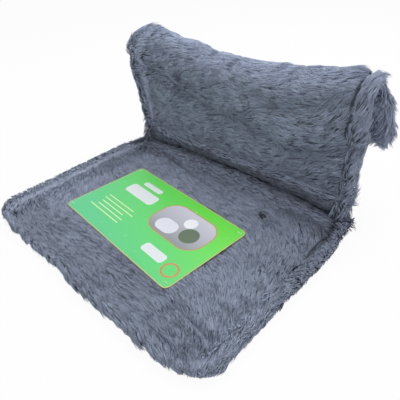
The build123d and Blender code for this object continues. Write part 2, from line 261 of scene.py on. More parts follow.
def flatten(way, normals):
    """Ways laid down on the skin."""
    return unit(way - normals * np.einsum("ij,ij->i", way, normals)[:, None])


def tuft(roots, rng):
    """The tuft that each lock belongs to, as the index of the tuft's own lock."""
    middle = rng.choice(len(roots), int(len(roots) / LOCKS_PER_TUFT), replace=False)
    tree = kdtree.KDTree(len(middle))
    for place, lock in enumerate(middle):
        tree.insert(roots[lock], place)
    tree.balance()
    return middle[[tree.find(r)[1] for r in roots]]


def lock_lines(roots, normals, comb, rng):
    """The middle line of each lock, bent along the nap and drawn towards its tuft."""
    count, way = len(roots), comb["way"]
    own = tuft(roots, rng)
    turn = rng.normal(0, 0.1, count)[:, None]
    way = unit(way * np.cos(turn) + np.cross(normals, way) * np.sin(turn))
    way = flatten(unit(way * 0.5 + way[own] * 0.5), normals)
    side = np.cross(normals, way)
    height = comb["rise"][:, None] * rng.uniform(0.75, 1.1, (count, 1))
    height = height * 0.6 + height[own] * 0.4
    length = comb["length"][:, None] * rng.uniform(0.8, 1.2, (count, 1))
    swing = rng.normal(0, 0.045, (count, 1)) * length
    phase = rng.uniform(0, math.pi, (count, 1))
    pull = rng.uniform(0.3, 1.0, (count, 1)) * np.reshape(comb["gather"], (-1, 1))
    rows = []
    for s in RING_SHARES:
        lift = height * (1 - (1 - s) ** 3.5) * (1 - 0.25 * s)
        wave = swing * (math.sin(2.4 * s) * np.cos(phase) + math.sin(5 * s) * np.sin(phase) * 0.5)
        rows.append(roots + way * length * s + normals * lift + side * wave)
    lines = np.stack(rows, 1)
    k = pull[:, :, None] * (RING_SHARES**1.2)[None, :, None]
    return lines * (1 - k) + lines[own] * k, own


def lock_tubes(lines, normals, width):
    """Three-sided tapered tubes round the lines, with the ridge upwards."""
    along = np.gradient(lines, axis=1)
    across = unit(np.cross(along, normals[:, None, :]))
    over = unit(np.cross(across, along))
    half = (width[:, None] * RING_WIDTHS[None, :])[:, :, None]
    mid, across, over = lines[:, :RINGS], across[:, :RINGS], over[:, :RINGS]
    low = mid - over * half * 0.3
    ring = [low - across * half, mid + over * half * 0.6, low + across * half]
    body = np.stack(ring, 2).reshape(len(lines), RINGS * 3, 3)
    return np.concatenate([body, lines[:, RINGS : RINGS + 1]], 1)


def lock_pattern():
    """A lock's quads, and the triangles at its tip and root, with their places in a map cell."""
    rows = 0.12 + 0.68 * RING_SHARES[:RINGS] / RING_SHARES[RINGS - 1]
    quads, quad_map, tips, tip_map = [], [], [], []
    for a in range(3):
        b, left, right, last = (a + 1) % 3, a / 3, (a + 1) / 3, RINGS * 3 - 3
        for r in range(0, last, 3):
            low, high = rows[r // 3], rows[r // 3 + 1]
            quads.append([r + a, r + b, r + 3 + b, r + 3 + a])
            quad_map.append([(left, low), (right, low), (right, high), (left, high)])
        tips.append([last + a, last + b, last + 3])
        tip_map.append([(left, rows[-1]), (right, rows[-1]), ((left + right) / 2, 0.98)])
    tip_map.append([(0.34, 0.1), (0.02, 0.1), (0.18, 0.01)])
    return [np.array(part) for part in (quads, tips + [[2, 1, 0]], quad_map, tip_map)]


LOCK_QUADS, LOCK_TIPS, QUAD_MAP, TIP_MAP = lock_pattern()


def write_pile(name, tubes, tones, seeds, body):
    """One object of many locks, with its colour value per point (the pile's own shade of grey plus painted
    light and shade), strand places and map: one map cell to a lock.
    """
    locks = np.arange(len(tubes))
    first = (locks * LOCK_POINTS)[:, None, None]
    faces = [(LOCK_QUADS + first).reshape(-1, 4), (LOCK_TIPS + first).reshape(-1, 3)]
    made = new_mesh(name, tubes.reshape(-1, 3), faces)
    cells = math.ceil(math.sqrt(len(tubes)))
    corner = (np.stack([locks % cells, locks // cells], 1) / cells)[:, None, None]
    fitted = [(corner + (part * 0.86 + 0.07) / cells).reshape(-1, 2) for part in (QUAD_MAP, TIP_MAP)]
    add_map(made.data, "OFBake", np.concatenate(fitted))
    along = np.append(np.repeat(RING_SHARES[:RINGS], 3), 1.0)
    around = np.append(np.tile([0.0, 0.5, 1.0], RINGS), 0.5)
    # Roots darker than tips: partly the pile's own colour, partly painted shade between the locks.
    fade = ROOT_TONE_AND_SHADE + (1 - ROOT_TONE_AND_SHADE) * smooth(along / 0.7)
    mark(made.data, "tone", np.clip(tones[:, None] * fade, 0, 1))
    strand = np.broadcast_arrays(seeds[:, None] * 60, around * 5, along * 1.6)
    mark(made.data, "strand", np.stack(strand, -1), "FLOAT_VECTOR", "vector")
    dress(made, body, PLUSH, "plush")


def grow(name, skin, count, weight, comb, body, seed, shape, wrap=None):
    """Pile on a skin, as several pieces side by side along X."""
    rng = np.random.default_rng(seed)
    count, widen = ((count, 1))
    roots, normals, values = skin.sample(count, weight, rng)
    combed = comb(roots, normals, values)
    combed["way"] = flatten(combed["way"], normals)
    fine = rng.random(count) < FINE_SHARE
    combed["length"] = combed["length"] * np.where(fine, 1.2, 1.0)
    lines, own = lock_lines(roots, normals, combed, rng)
    lines = shape(wrap(lines, roots) if wrap else lines, roots)
    width = combed["width"] * np.where(fine, 0.5, 1.1) * rng.uniform(0.75, 1.25, count) * widen
    tubes = shape(lock_tubes(lines, normals, width), roots)
    tones = combed["tone"] * (1 + 0.06 * rng.normal(size=count) + 0.06 * rng.normal(size=count)[own])
    tones = np.clip(tones * np.where(fine, 1.16, 0.95), 0.1, 1.5) / 1.5
    order = np.argsort(roots[:, 0])
    for number, part in enumerate(np.array_split(order, math.ceil(count / LOCKS_PER_PIECE))):
        write_pile(f"{name}_{number + 1}", tubes[part], tones[part], rng.random(len(part)), body)


# Materials
def rgb(r, g, b):
    return (r, g, b, 1)


class Nodes:
    """Short ways to add nodes to a tree and join them."""

    def __init__(self, tree):
        self.tree = tree

    def join(self, value, socket):
        """Links a socket to another, or sets its constant."""
        if isinstance(value, bpy.types.NodeSocket):
            self.tree.links.new(value, socket)
        else:
            socket.default_value = value

    def add(self, kind, inputs=(), **settings):
        made = self.tree.nodes.new("ShaderNode" + kind)
        for key, value in settings.items():
            setattr(made, key, value)
        for key, value in dict(inputs).items():
            self.join(value, made.inputs[key])
        return made

    def math(self, way, a, b=0.0):
        return self.add("Math", {0: a, 1: b}, operation=way).outputs[0]

    def mix(self, share, a, b, way="MIX"):
        return self.add("Mix", {0: share, 6: a, 7: b}, data_type="RGBA", blend_type=way).outputs[2]

    def ramp(self, value, low, high, to_low=0.0, to_high=1.0):
        ends = {"From Min": low, "From Max": high, "To Min": to_low, "To Max": to_high}
        return self.add("MapRange", {"Value": value, **ends}).outputs["Result"]

    def spread(self, value, low, high):
        """The middle of a noise's range, spread from low to high."""
        return self.ramp(value, 0.3, 0.7, low, high)

    def noise(self, where, scale, detail=3.0, rough=0.5):
        inputs = {"Vector": where, "Scale": scale, "Detail": detail, "Roughness": rough}
        return self.add("TexNoise", inputs).outputs["Fac"]

    def seen(self):
        """1 for rays from the camera and off glossy faces, otherwise 0."""
        path = self.add("LightPath").outputs
        return self.math("MAXIMUM", path["Is Camera Ray"], path["Is Glossy Ray"])


class Look(Nodes):
    """A new material, with its principled shader and the place that its patterns follow."""

    def __init__(self, name):
        self.made = bpy.data.materials.new(name)
        self.made.use_nodes = True
        super().__init__(self.made.node_tree)
        self.shader = self.tree.nodes["Principled BSDF"]
        self.place = self.add("TexCoord").outputs["Object"]

    def finish(self, colour, rough, height, depth, **others):
        """Joins colour, roughness and a bump of some depth in millimetres, and sets the other inputs."""
        raised = self.add("Bump", {"Height": height, "Distance": depth * MM, "Strength": 1.0})
        others = {name.replace("_", " "): value for name, value in others.items()}
        sockets = {"Base Color": colour, "Roughness": rough, "Normal": raised.outputs["Normal"], **others}
        for name, value in sockets.items():
            self.join(value, self.shader.inputs[name])
        return self.made


def make_plush():
    """Grey pile: dark at the root, paler and a little blue at the tip, with fine strands. The darker root
    is partly the pile's own colour and partly painted shade, and the colour value from the combs carries
    painted light and shade.
    """
    look = Look("plush_pile")
    tone = look.add("Attribute", attribute_name="tone").outputs["Fac"]
    strand = look.add("Attribute", attribute_name="strand").outputs["Vector"]
    streak, patch = look.noise(strand, 2.2, 2.0), look.noise(look.place, 14.0, 2.0)
    colour = look.mix(tone, rgb(0.05, 0.058, 0.08), rgb(0.50, 0.565, 0.72))
    colour = look.mix(look.spread(streak, 0.0, 0.55), colour, rgb(0.42, 0.47, 0.58), "SOFT_LIGHT")
    colour = look.mix(look.ramp(patch, 0.35, 0.65, 0.0, 0.1), colour, rgb(0.08, 0.092, 0.12))
    sheen = {"Sheen_Weight": 0.18, "Sheen_Roughness": 0.45, "Specular_IOR_Level": 0.25}
    return look.finish(colour, look.spread(streak, 0.5, 0.78), streak, 0.25, **sheen)


def make_backing():
    """The knitted ground that the pile grows from, darkened with painted shade where its deep value says.
    """
    look = Look("plush_backing")
    knit = look.add("TexVoronoi", {"Vector": look.place, "Scale": 900.0}).outputs["Distance"]
    patch = look.noise(look.place, 60.0)
    deep = look.add("Attribute", attribute_name="deep").outputs["Fac"]
    colour = look.mix(patch, rgb(0.14, 0.158, 0.205), rgb(0.23, 0.258, 0.33))
    colour = look.mix(deep, colour, rgb(0.05, 0.057, 0.074))
    return look.finish(colour, look.spread(patch, 0.8, 0.95), knit, 0.3)


def make_weave(name, dark, pale, threads):
    """Plain woven cloth: two crossed sets of threads with small differences between them."""
    look = Look(name)
    wave = {"Vector": look.place, "Scale": threads, "Distortion": 0.6, "Detail Scale": 3.0}
    warp, weft = (look.add("TexWave", wave, bands_direction=way).outputs["Fac"] for way in "XY")
    cloth, patch = look.math("MULTIPLY", warp, weft), look.noise(look.place, 35.0)
    colour = look.mix(look.spread(patch, 0.0, 0.35), look.mix(cloth, dark, pale), dark)
    return look.finish(colour, look.spread(patch, 0.75, 0.9), cloth, 0.25)


def make_fibre():
    """White batting: soft tangled fibres."""
    look = Look("batting_fibre")
    tangle, clump = look.noise(look.place, 260.0, 6.0, 0.7), look.noise(look.place, 45.0)
    colour = look.mix(tangle, rgb(0.62, 0.62, 0.6), rgb(0.88, 0.88, 0.86))
    colour = look.mix(look.spread(clump, 0.0, 0.3), colour, rgb(0.7, 0.69, 0.66))
    return look.finish(colour, look.spread(tangle, 0.85, 1.0), tangle, 1.2)


def make_steel():
    """Powder-coated rod: fine orange peel and a few rubbed places."""
    look = Look("powder_coat")
    peel, rub = look.noise(look.place, 1400.0), look.noise(look.place, 30.0, 5.0, 0.65)
    colour = look.mix(look.ramp(rub, 0.62, 0.72), rgb(0.55, 0.56, 0.57), rgb(0.36, 0.36, 0.36))
    bare = look.ramp(rub, 0.66, 0.74, 0.0, 0.9)
    return look.finish(colour, look.ramp(rub, 0.6, 0.75, 0.42, 0.28), peel, 0.06, Metallic=bare)


def make_plastic(name, base, shade, rough):
    """Moulded plastic with a faint grain and flow marks."""
    look = Look(name)
    grain, flow = look.noise(look.place, 1800.0), look.noise(look.place, 120.0)
    return look.finish(look.mix(flow, base, shade), look.spread(flow, rough, rough + 0.15), grain, 0.04)


class Print(Look):
    """A material with flat shapes printed one over another, in the card's own millimetres."""

    def __init__(self, name, uv_map):
        super().__init__(name)
        parts = self.add("SeparateXYZ", {0: self.add("UVMap", uv_map=uv_map).outputs["UV"]})
        self.x, self.y = parts.outputs[0], parts.outputs[1]

    def block(self, x, y, width, height, corner):
        """How far a place is outside a rounded block."""
        squares = []
        for place, middle, size in ((self.x, x, width), (self.y, y, height)):
            away = self.math("ABSOLUTE", self.math("SUBTRACT", place, middle))
            over = self.math("MAXIMUM", self.math("SUBTRACT", away, size / 2 - corner))
            squares.append(self.math("MULTIPLY", over, over))
        return self.math("SUBTRACT", self.math("SQRT", self.math("ADD", *squares)), corner)

    def over(self, colour, distance, paint, edge=0.25):
        """Paints where the distance is under 0."""
        return self.mix(self.ramp(distance, edge, -edge), colour, paint)

    def line(self, colour, distance, width, paint):
        """Paints a line of some width along the border where the distance is 0."""
        return self.over(colour, self.math("SUBTRACT", self.math("ABSOLUTE", distance), width / 2), paint)


# What is printed on the card, each as its middle, size and corner radius
PICTURE = (196, 104, 118, 76, 30)
DISCS = [
    ((176, 88, 44, 30, 15), rgb(0.74, 0.76, 0.84)),
    ((222, 96, 34, 34, 17), rgb(0.10, 0.15, 0.09)),
    ((202, 118, 24, 24, 12), rgb(0.86, 0.88, 0.93)),
]
BARS = [(70 + 5 * (row % 2), 34 + 9 * row, 84 - 10 * (row % 3), 2.2, 1.1) for row in range(5)]
BLANKS = [(74, 112, 76, 26, 7), (74, 138, 50, 11, 5), (212, 34, 50, 18, 6)]
RING = (258, 28, 26, 26, 13)


def make_card():
    """Coated card with a plain generic print: green shades, blank panels, discs and short bars."""
    look = Print("coated_card", "face")
    lime, teal = rgb(0.13, 0.75, 0.045), rgb(0.10, 0.60, 0.26)
    pale, rust, leaf = rgb(0.75, 0.8, 0.82), rgb(0.62, 0.22, 0.08), rgb(0.62, 0.85, 0.4)
    slant = look.math("SUBTRACT", look.math("MULTIPLY", look.x, 0.35), look.math("MULTIPLY", look.y, -0.9))
    colour = look.mix(look.ramp(slant, 40, 210), teal, lime)
    inside = look.mix(look.ramp(look.y, 70, 140), rgb(0.28, 0.30, 0.33), rgb(0.62, 0.63, 0.72))
    for shape, paint in DISCS:
        inside = look.over(inside, look.block(*shape), paint)
    picture = look.block(*PICTURE)
    colour = look.line(look.over(colour, picture, inside), picture, 1.6, rust)
    colour = look.line(colour, look.block(*RING), 3.0, rust)
    for shapes, paint in ((BARS, leaf), (BLANKS, pale)):
        for shape in shapes:
            colour = look.over(colour, look.block(*shape), paint)
    rim = look.block(CARD_LENGTH / 2, CARD_WIDTH / 2, CARD_LENGTH, CARD_WIDTH, CARD_ROUND)
    rim = look.math("MULTIPLY", look.math("ADD", rim, 1.3), -1.0)
    colour = look.over(colour, rim, rgb(0.66, 0.55, 0.2))
    wear = look.noise(look.place, 90.0, 5.0, 0.65)
    colour = look.mix(look.ramp(wear, 0.62, 0.8, 0.0, 0.25), colour, rgb(0.8, 0.82, 0.8))
    coat = {"Coat_Weight": 0.15, "Coat_Roughness": 0.25}
    return look.finish(colour, look.spread(wear, 0.34, 0.5), look.noise(look.place, 700.0), 0.03, **coat)


PLUSH = make_plush()
BACKING = make_backing()
LINING = make_weave("lining_cloth", rgb(0.03, 0.032, 0.038), rgb(0.13, 0.135, 0.15), 420.0)
FIBRE = make_fibre()
STEEL = make_steel()
NYLON = make_plastic("moulded_nylon", rgb(0.05, 0.05, 0.052), rgb(0.085, 0.085, 0.09), 0.45)
PIN = make_plastic("pin_nylon", rgb(0.82, 0.83, 0.8), rgb(0.9, 0.9, 0.88), 0.25)
THREAD = make_plastic("sewing_thread", rgb(0.06, 0.065, 0.075), rgb(0.12, 0.125, 0.14), 0.6)
CARD = make_card()
TAPE = make_weave("tape_cloth", rgb(0.015, 0.015, 0.017), rgb(0.06, 0.06, 0.065), 900.0)

# Ways that the nap lies
ALONG_X = np.array([[1.0, 0, 0]])
STREAK_SHAPE = np.array([0.28, 1, 1])


def ray(x, y, z):
    return np.array([[x, y, z]])


def turned(degrees, first, second):
    """Ways turned by an angle from the first way towards the second."""
    angle = np.radians(degrees)[:, None]
    return first * np.cos(angle) + second * np.sin(angle)


def between(a, b, share):
    """From a to b, by a share of its own for each row."""
    share = np.reshape(share, (-1, 1))
    return a * (1 - share) + b * share


def facing(part):
    """How far a wall faces one way, from that part of its normal."""
    return soft(part, 0.35, 0.75)


# Back and hook: one padded shell that follows the hook's line
SIDE_ROUND = 12
SIDE_GAP = 1.5
SEAM_DEPTH = 6.5
SEAM_HALF = 3.4
SEAM_SHIFT = 9
LEFT_SWELL, FLAP_SWELL, RIGHT_SWELL = 14, 6, 5
LEFT_FOOT = 5
LEFT_LEAN = 12
KNOB_SWELL, KNOB_TUCK = 4, 11
TOP_SINK = 3.5
FOOT_HEIGHT = 34
BACK_ROWS, BEND_ROWS, LEG_ROWS, HEM_ROWS = 52, 26, 30, 9

# Valleys of the draped back, as places across the width and above the seat's underside
LOW_VALLEY = ([-227, -119, -8, 80, 120, 165, 219], [203, 155, 135, 119, 108, 118, 148])
HIGH_VALLEY = ([-235, -101, 3, 55, 95, 138, 214], [232, 216, 203, 188, 181, 194, 231])

# The corner where the seat and back meet at the right seams, whose pile gets painted shade
HOLLOW = np.array([PANEL + 1, AXIS_Y - 16, AXIS_Z + 10])
HOLLOW_REACH = 17


def stations():
    """Places along X where the sections stand, close together at the seams and sides."""
    inner = np.linspace(0, PANEL - 14, 44)[:-1]
    seam = np.linspace(PANEL - 14, PANEL + 5, 14)[:-1]
    side = HALF - SIDE_GAP - 10 * (1 - np.sin(np.linspace(0, 1, 9) * math.pi / 2))
    half = np.unique(np.round(np.concatenate([inner, seam, np.maximum(side, PANEL + 5)]), 3))
    return np.concatenate([-half[:0:-1], half])


def side_fade(x):
    """1 over the width, falling to 0 at the sides as a full round edge does."""
    k = np.clip((np.abs(x) - HALF + SIDE_GAP) / SIDE_ROUND + 1, 0, 1)
    return (1 - k**2.6) ** (1 / 2.6)


def seam_dip(x):
    return hump(np.abs(x) - PANEL, SEAM_HALF) * np.where(x > 0, 1, 0.1)


def seam_at(z):
    """Where the right seam runs, further in near the top."""
    return PANEL - SEAM_SHIFT * soft(z, 100, 190)


def bend_middle(x):
    """The middle of the hook's bend in Y and Z, and how much the sag of the top widens the bend."""
    ease = TOP_SAG * np.maximum(0, 1 - (x / (PANEL * SAG_END_SHARE)) ** 2) / SAG_TO_EASE
    return AXIS_Y + ARM_OFFSET + BEND_RADIUS + ease, AXIS_Z + BEND_HEIGHT - ease * EASE_DROP, ease


def hook_line(x, w, offset):
    """Places on the hook's line pushed outwards by offset, with the way along it.
    w runs 0 to 1 up the back, to 2 round the bend and to 3 down the leg."""
    middle_y, middle_z, ease = bend_middle(x)
    up, share, radius = w <= 1, np.clip(w - 2, 0, 1), BEND_RADIUS + offset
    angle = math.pi - (math.pi - SPLAY) * np.clip(w - 1, 0, 1)
    y, z = middle_y + (radius + ease) * np.cos(angle), middle_z + (radius + ease) * np.sin(angle)
    end_y = AXIS_Y + ARM_OFFSET + BEND_RADIUS + radius * math.cos(SPLAY) + LEG_LENGTH * math.sin(SPLAY)
    end_z = AXIS_Z + BEND_HEIGHT + radius * math.sin(SPLAY) - LEG_LENGTH * math.cos(SPLAY)
    foot = AXIS_Z + FOOT_HEIGHT
    y = np.where(up, AXIS_Y + ARM_OFFSET - offset, y + (end_y - y) * share)
    z = np.where(up, foot + (middle_z - foot) * w, z + (end_z - z) * share)
    way = [0 * x, np.where(up, 0, np.sin(angle)), np.where(up, 1, -np.cos(angle))]
    return np.stack([x, y, z], -1), np.stack(way, -1)


def drape(x, z):
    """How far into the two valleys of the draped front a place lies, and how far over and under them."""
    low, high = np.interp(x, *LOW_VALLEY), np.interp(x, *HIGH_VALLEY)
    return hump(z - low, 13) + 0.75 * hump(z - high, 11), soft(z - high, 0, 25), soft(low - z, 0, 30)


def back_swell(x, z, w):
    """How far the back's front stands out: soft rolls between two valleys, and a sunk top."""
    front, top = soft(w, 0.02, 0.22) * soft(w, 1.35, 1.05), soft(w, 1.1, 1.45) * soft(w, 2.25, 1.9)
    knob = 6 * hump(x - PANEL, 9) - KNOB_SWELL * soft(x, PANEL - 3, PANEL + 2)
    return (4 - 9 * drape(x, z)[0]) * front - (TOP_SINK + knob) * top


def draw_seam(points):
    """Moves the right seam in, with the cloth beside it."""
    x, z = points[..., 0], points[..., 2]
    share = np.where(x < PANEL, soft(x, PANEL - 70, PANEL), np.clip((HALF - x) / BAND, 0, 1))
    side = np.clip((x - PANEL) / BAND, 0, 1) * hump(z - 165, 40)
    points[..., 0] += RIGHT_SWELL * side - (PANEL - seam_at(z)) * share
    return points


def fill_left(points, w, inner):
    """The left side is fuller than the right and leans out and forwards towards its top."""
    x, z = points[..., 0], points[..., 2]
    side, rim = soft(-x, PANEL - 60, PANEL + 10), soft(-x, PANEL, PANEL + 9)
    near = soft(-x, PANEL - 70, PANEL - 10) * soft(w, 1.5, 1) * (1 - 0.9 * inner * (1 - rim))
    points[..., 0] -= (LEFT_FOOT + LEFT_SWELL * soft(z, 60, 230)) * side
    points[..., 1] -= LEFT_LEAN * soft(z, 130, 220) * near
    return points


def make_back_skin():
    """The shell's sections: up the outside, round the hem and back along the inside."""
    xs = stations()
    rows = [np.linspace(0, 1, BACK_ROWS), np.linspace(1, 2, BEND_ROWS)[1:], np.linspace(2, 3, LEG_ROWS)[1:]]
    x, w = np.meshgrid(xs, np.concatenate(rows), indexing="ij")
    fade, dip = side_fade(x), SEAM_DEPTH * seam_dip(x)
    rear = soft(w, 1.5, 1.8) * soft(w, 2.5, 2)
    middle = (SKIN_OUTER - SKIN_INNER) / 2 - KNOB_TUCK * rear * soft(x, PANEL - 8, PANEL + 2)
    half = (SKIN_OUTER + SKIN_INNER) / 2 - UNDER
    flat = hook_line(x, w, middle)[0]
    flap, small = FLAP_SWELL * soft(xs, 110, 170), SMALL_LUMPS(flat)
    swell = back_swell(x, flat[..., 2], w) + LUMPS(flat) + 0.5 * small + flap[:, None] * soft(w, 2.1, 2.6)
    outside, way_out = hook_line(x, w, middle + (half + swell - dip) * fade)
    inside, way_in = hook_line(x, w, middle - (half - 0.4 * small - 0.35 * dip) * fade)
    end, way = hook_line(xs, np.full_like(xs, 3.0), 0 * xs)
    push, hem = np.array([0.0, math.cos(SPLAY), math.sin(SPLAY)]), []
    for turn in np.linspace(0, math.pi, HEM_ROWS + 2)[1:-1]:
        bulge = half * math.cos(turn) + flap * (0.5 + 0.5 * math.cos(turn))
        drop = (HEM_DROP - UNDER) * math.sin(turn) * (0.5 + 0.5 * side_fade(xs))
        hem.append(end + push * (middle[:, -1] + bulge * side_fade(xs))[:, None] + way * drop[:, None])
    join = lambda a, b, c: np.concatenate([a, b, c[:, ::-1]], 1)
    loops = join(outside, np.stack(hem, 1), inside)
    ways = join(way_out, np.repeat(way[:, None], HEM_ROWS, 1), way_in)
    ends = np.full((len(xs), HEM_ROWS), 3.0)
    place, within = join(w, ends, w), join(0 * w, 0 * ends, 0 * w + 1)
    points = draw_seam(fill_left(loops, place, within)).reshape(-1, 3)
    values = {"w": place.ravel(), "inner": within.ravel(), "along": ways.reshape(-1, 3)}
    return Skin(points, grid_quads(*place.shape, around=True), **values)


def hollow_shade(p):
    """How near a place is to the corner that gets painted shade."""
    return np.exp(-((p - HOLLOW) ** 2).sum(1) / HOLLOW_REACH**2)


def comb_back(p, n, v):
    """Nap of the back and hook: along X on the panels, along the hook on the side bands."""
    w, inner, along, x, z = v["w"], v["inner"], v["along"], p[:, 0], p[:, 2]
    left, right, side = (x < 0) * 1.0, soft(x, 60, 210), facing(np.abs(n[:, 0]))
    hang, low, top = soft(w, 1.9, 2.15), soft(w, 1.1, 0.9), soft(w, 1.05, 1.35) * soft(w, 2.1, 1.85)
    band = soft(np.abs(x) - np.where(x > 0, seam_at(z), PANEL), -1, 2)
    near = soft(x, 120, 160) * hang
    coarse = np.maximum(band, inner * near) * hang
    short = inner * (1 - side) * (1 - near)
    rough = np.maximum(right * soft(w, 1.6, 1.2), coarse)
    streak, left_seam = STREAKS(p * STREAK_SHAPE), hump(x + PANEL, 7) + band * (1 - side)

    stray = np.stack([0 * x, SMALL_WANDER(p), -WANDER(p)], 1)
    climb = np.where(w < 1.1, 16 + 24 * right, 12) + 9 * WANDER(p) + 8 * SMALL_WANDER(p)
    edge = along + 0.45 * (x > 0)[:, None] * ALONG_X + 0.25 * stray
    edge = between(edge, ray(0, -0.85, -0.4) + 0.2 * stray, hang * side)
    face = between(turned(climb, ALONG_X, along), along - 0.75 * ALONG_X, inner * hang)
    way = between(face, edge, band * np.where(x > 0, 1, np.maximum(side, hang)))

    hem = 0.6 - 0.32 * soft(x, 150, 190)
    length = 21 * (1 + 0.25 * coarse) * (1 - 0.5 * short) * (1 - 0.35 * left * side)
    rise = (4.5 - 2 * top + 2 * coarse * (1 - side)) * (1 - 0.55 * short)
    rise = rise + side * (2.5 + 4.5 * left) * (1 - 0.8 * top * (1 - left))
    rise = rise * (1 - hem * soft(w, 2.85, 3)) * (1 - 0.5 * hang * side)
    rise = rise + 2 * right * low * (1 - inner) + 0.7 * streak * (1 - hang)

    # The tone below is painted light and shade: painted light on the hook's top and right knob, on the
    # coarse flap pile, at the top left and along the left seam; painted shade in the drape's valleys with a
    # little painted light above them, low on the back above the crease and in the right corner. The right
    # of the front is a little darker and the side bands a little paler, and the streaks vary the pile at
    # random.
    shown = soft(w, 1.3, 1) * (1 - inner) * (1 - band)
    deep, above, below = drape(x, z)
    tone = 1 + 0.38 * top * (1 - band) + 0.45 * band * top * (1 - left) + 0.4 * coarse
    tone = tone + (0.06 * above - 0.26 * deep - 0.07 * below) * shown + 0.12 * band * (1 - hang)
    tone = tone - 0.2 * soft(w, 0.3, 0) * (1 - band) + 0.2 * soft(-x, 130, 210) * soft(w, 0.5, 0.9)
    tone = tone + 0.06 * streak * (1 + rough) - 0.35 * hollow_shade(p)
    tone = tone + 0.3 * left * left_seam * (1 - hang) - 0.08 * right * low * (1 - band)
    return {
        "way": way,
        "length": length * (1 - hem * soft(w, 2.7, 3)),
        "rise": rise + 2 * left * left_seam * (1 - hang) * (1 - side),
        "width": 0.66 * (1 + 0.5 * coarse + 0.3 * short),
        "tone": tone,
        "gather": 0.5 + 0.25 * rough,
    }


def keep_within(x, edge=250, reach=8.5):
    """Draws in the tips that stand far out at the two sides."""
    over = np.maximum(np.abs(x) - edge, 0)
    return np.sign(x) * (np.minimum(np.abs(x), edge) + reach * (1 - np.exp(-over / reach)))


def wrap_bend(lines, roots):
    """Lays the straight locks round the bend of the hook, each at its own root's radius."""
    middle = np.stack(bend_middle(roots[:, 0])[:2], 1)
    root = roots[:, 1:] - middle
    angle = np.clip(np.arctan2(root[:, 1], root[:, 0]), SPLAY, math.pi)
    angle = np.where((root[:, 1] < 0) & (root[:, 0] < 0), math.pi, angle)
    out = np.stack([np.cos(angle), np.sin(angle)], 1)
    ahead = np.stack([np.sin(angle), -np.cos(angle)], 1)
    radius = np.einsum("ij,ij->i", root, out)[:, None]
    start = np.einsum("ij,ij->i", root, ahead)
    start = np.where(angle > math.pi - 1e-6, start, radius[:, 0] * (math.pi - angle))[:, None]
    step = lines[..., 1:] - roots[:, None, 1:]
    far = start + np.einsum("nkj,nj->nk", step, ahead)
    high = radius + np.einsum("nkj,nj->nk", step, out)
    arc = radius * (math.pi - SPLAY)
    turn = math.pi - np.clip(far, 0, arc) / np.maximum(radius, 5)
    over = np.minimum(far, 0) + np.maximum(far - arc, 0)
    t, s = high * np.cos(turn) + over * np.sin(turn), high * np.sin(turn) - over * np.cos(turn)
    bent = np.stack([lines[..., 0], middle[:, :1] + t, middle[:, 1:] + s], -1)
    near = (radius > 8) & (start > -30) & (angle > SPLAY + 0.02)[:, None]
    return np.where(near[..., None], bent, lines)


def part_seams(points, roots):
    """Keeps the pile of the right panel and of its side band on their own sides of the seam."""
    x, y, z = np.moveaxis(points, -1, 0)
    middle_y, middle_z, ease = bend_middle(x)
    t, s = y - middle_y, z - middle_z
    far = np.hypot(t, s)
    end = soft(x, PANEL - 16, PANEL - 6) * soft(np.degrees(np.arctan2(s, t)), 100, 50)
    limit = BEND_RADIUS + SKIN_OUTER + ease + 1 - 1.2 * KNOB_TUCK * end
    past = (s > -5) & (far > limit) & (x > PANEL - 20)
    excess = np.where(past, 1 - (limit + 0.25 * (far - limit)) / np.maximum(far, 1), 0)
    seam, stray = seam_at(roots[:, 2])[:, None], SMALL_WANDER(roots)[:, None]
    stop, start = seam - 1.4 + 4 * np.maximum(stray, 0), seam + 1.2 + 3.5 * np.minimum(stray, 0)
    held = np.where(x > stop, stop + 0.1 * (x - stop), x)
    x = keep_within(np.where(roots[:, :1] > seam, np.maximum(x, start), held))
    return np.stack([x, y - t * excess, z - s * excess], -1)


# Seat: a crowned pad with sewn bands round it
FRONT_ROUND = 25
TAIL_ROUND = 6
SCALLOP = 31
LEFT_EDGE_RISE, LEFT_SEAM_FILL = 9.5, 7
LEFT_EDGE_SWELL, RIGHT_EDGE_SWELL, REAR_EDGE_SWELL, FRONT_EDGE_SWELL, CORNER_SWELL = 14, 6, 7, 2.5, 5
LEFT_TOP = 33
RIGHT_SEAM = PANEL + 9
CROWN_WIDTH = 26
SEAT_FOOT = 2.2

# Folds across the seat, as places across the width and back from the front, and the dimple's middle
CHANNEL = ([-235, -140, 0, 120, 178, 235], [60, 57, 57, 57, 53, 50])
REAR_FOLD = ([-235, -112, -26, 48, 96, 235], [334, 315, 297, 281, 275, 272])
DIMPLE = np.array([125, 284 + SEAT_FRONT])
DIMPLE_RADIUS = 7.5


def from_fold(x, y, fold):
    """How far behind a fold a place lies."""
    return y - SEAT_FRONT - np.interp(x, *fold)


def from_dimple(p):
    return np.hypot(p[:, 0] - DIMPLE[0], p[:, 1] - DIMPLE[1])


def toward_rear(y):
    """0 along the front half of the right seam, rising to 1 along its rear half."""
    return soft(y - SEAT_FRONT, 120, 230)


def left_rise(y):
    """How much of its full rise the left edge has: none at the front corner or beside the crease."""
    return soft(y - SEAT_FRONT, 5, 40) * soft(y, 100, 25)


def half_width(y, front, half):
    """Half the width of a plan whose front corners are round."""
    drop = np.clip(front + FRONT_ROUND - y, 0, FRONT_ROUND)
    return half - FRONT_ROUND + np.sqrt(FRONT_ROUND**2 - drop**2)


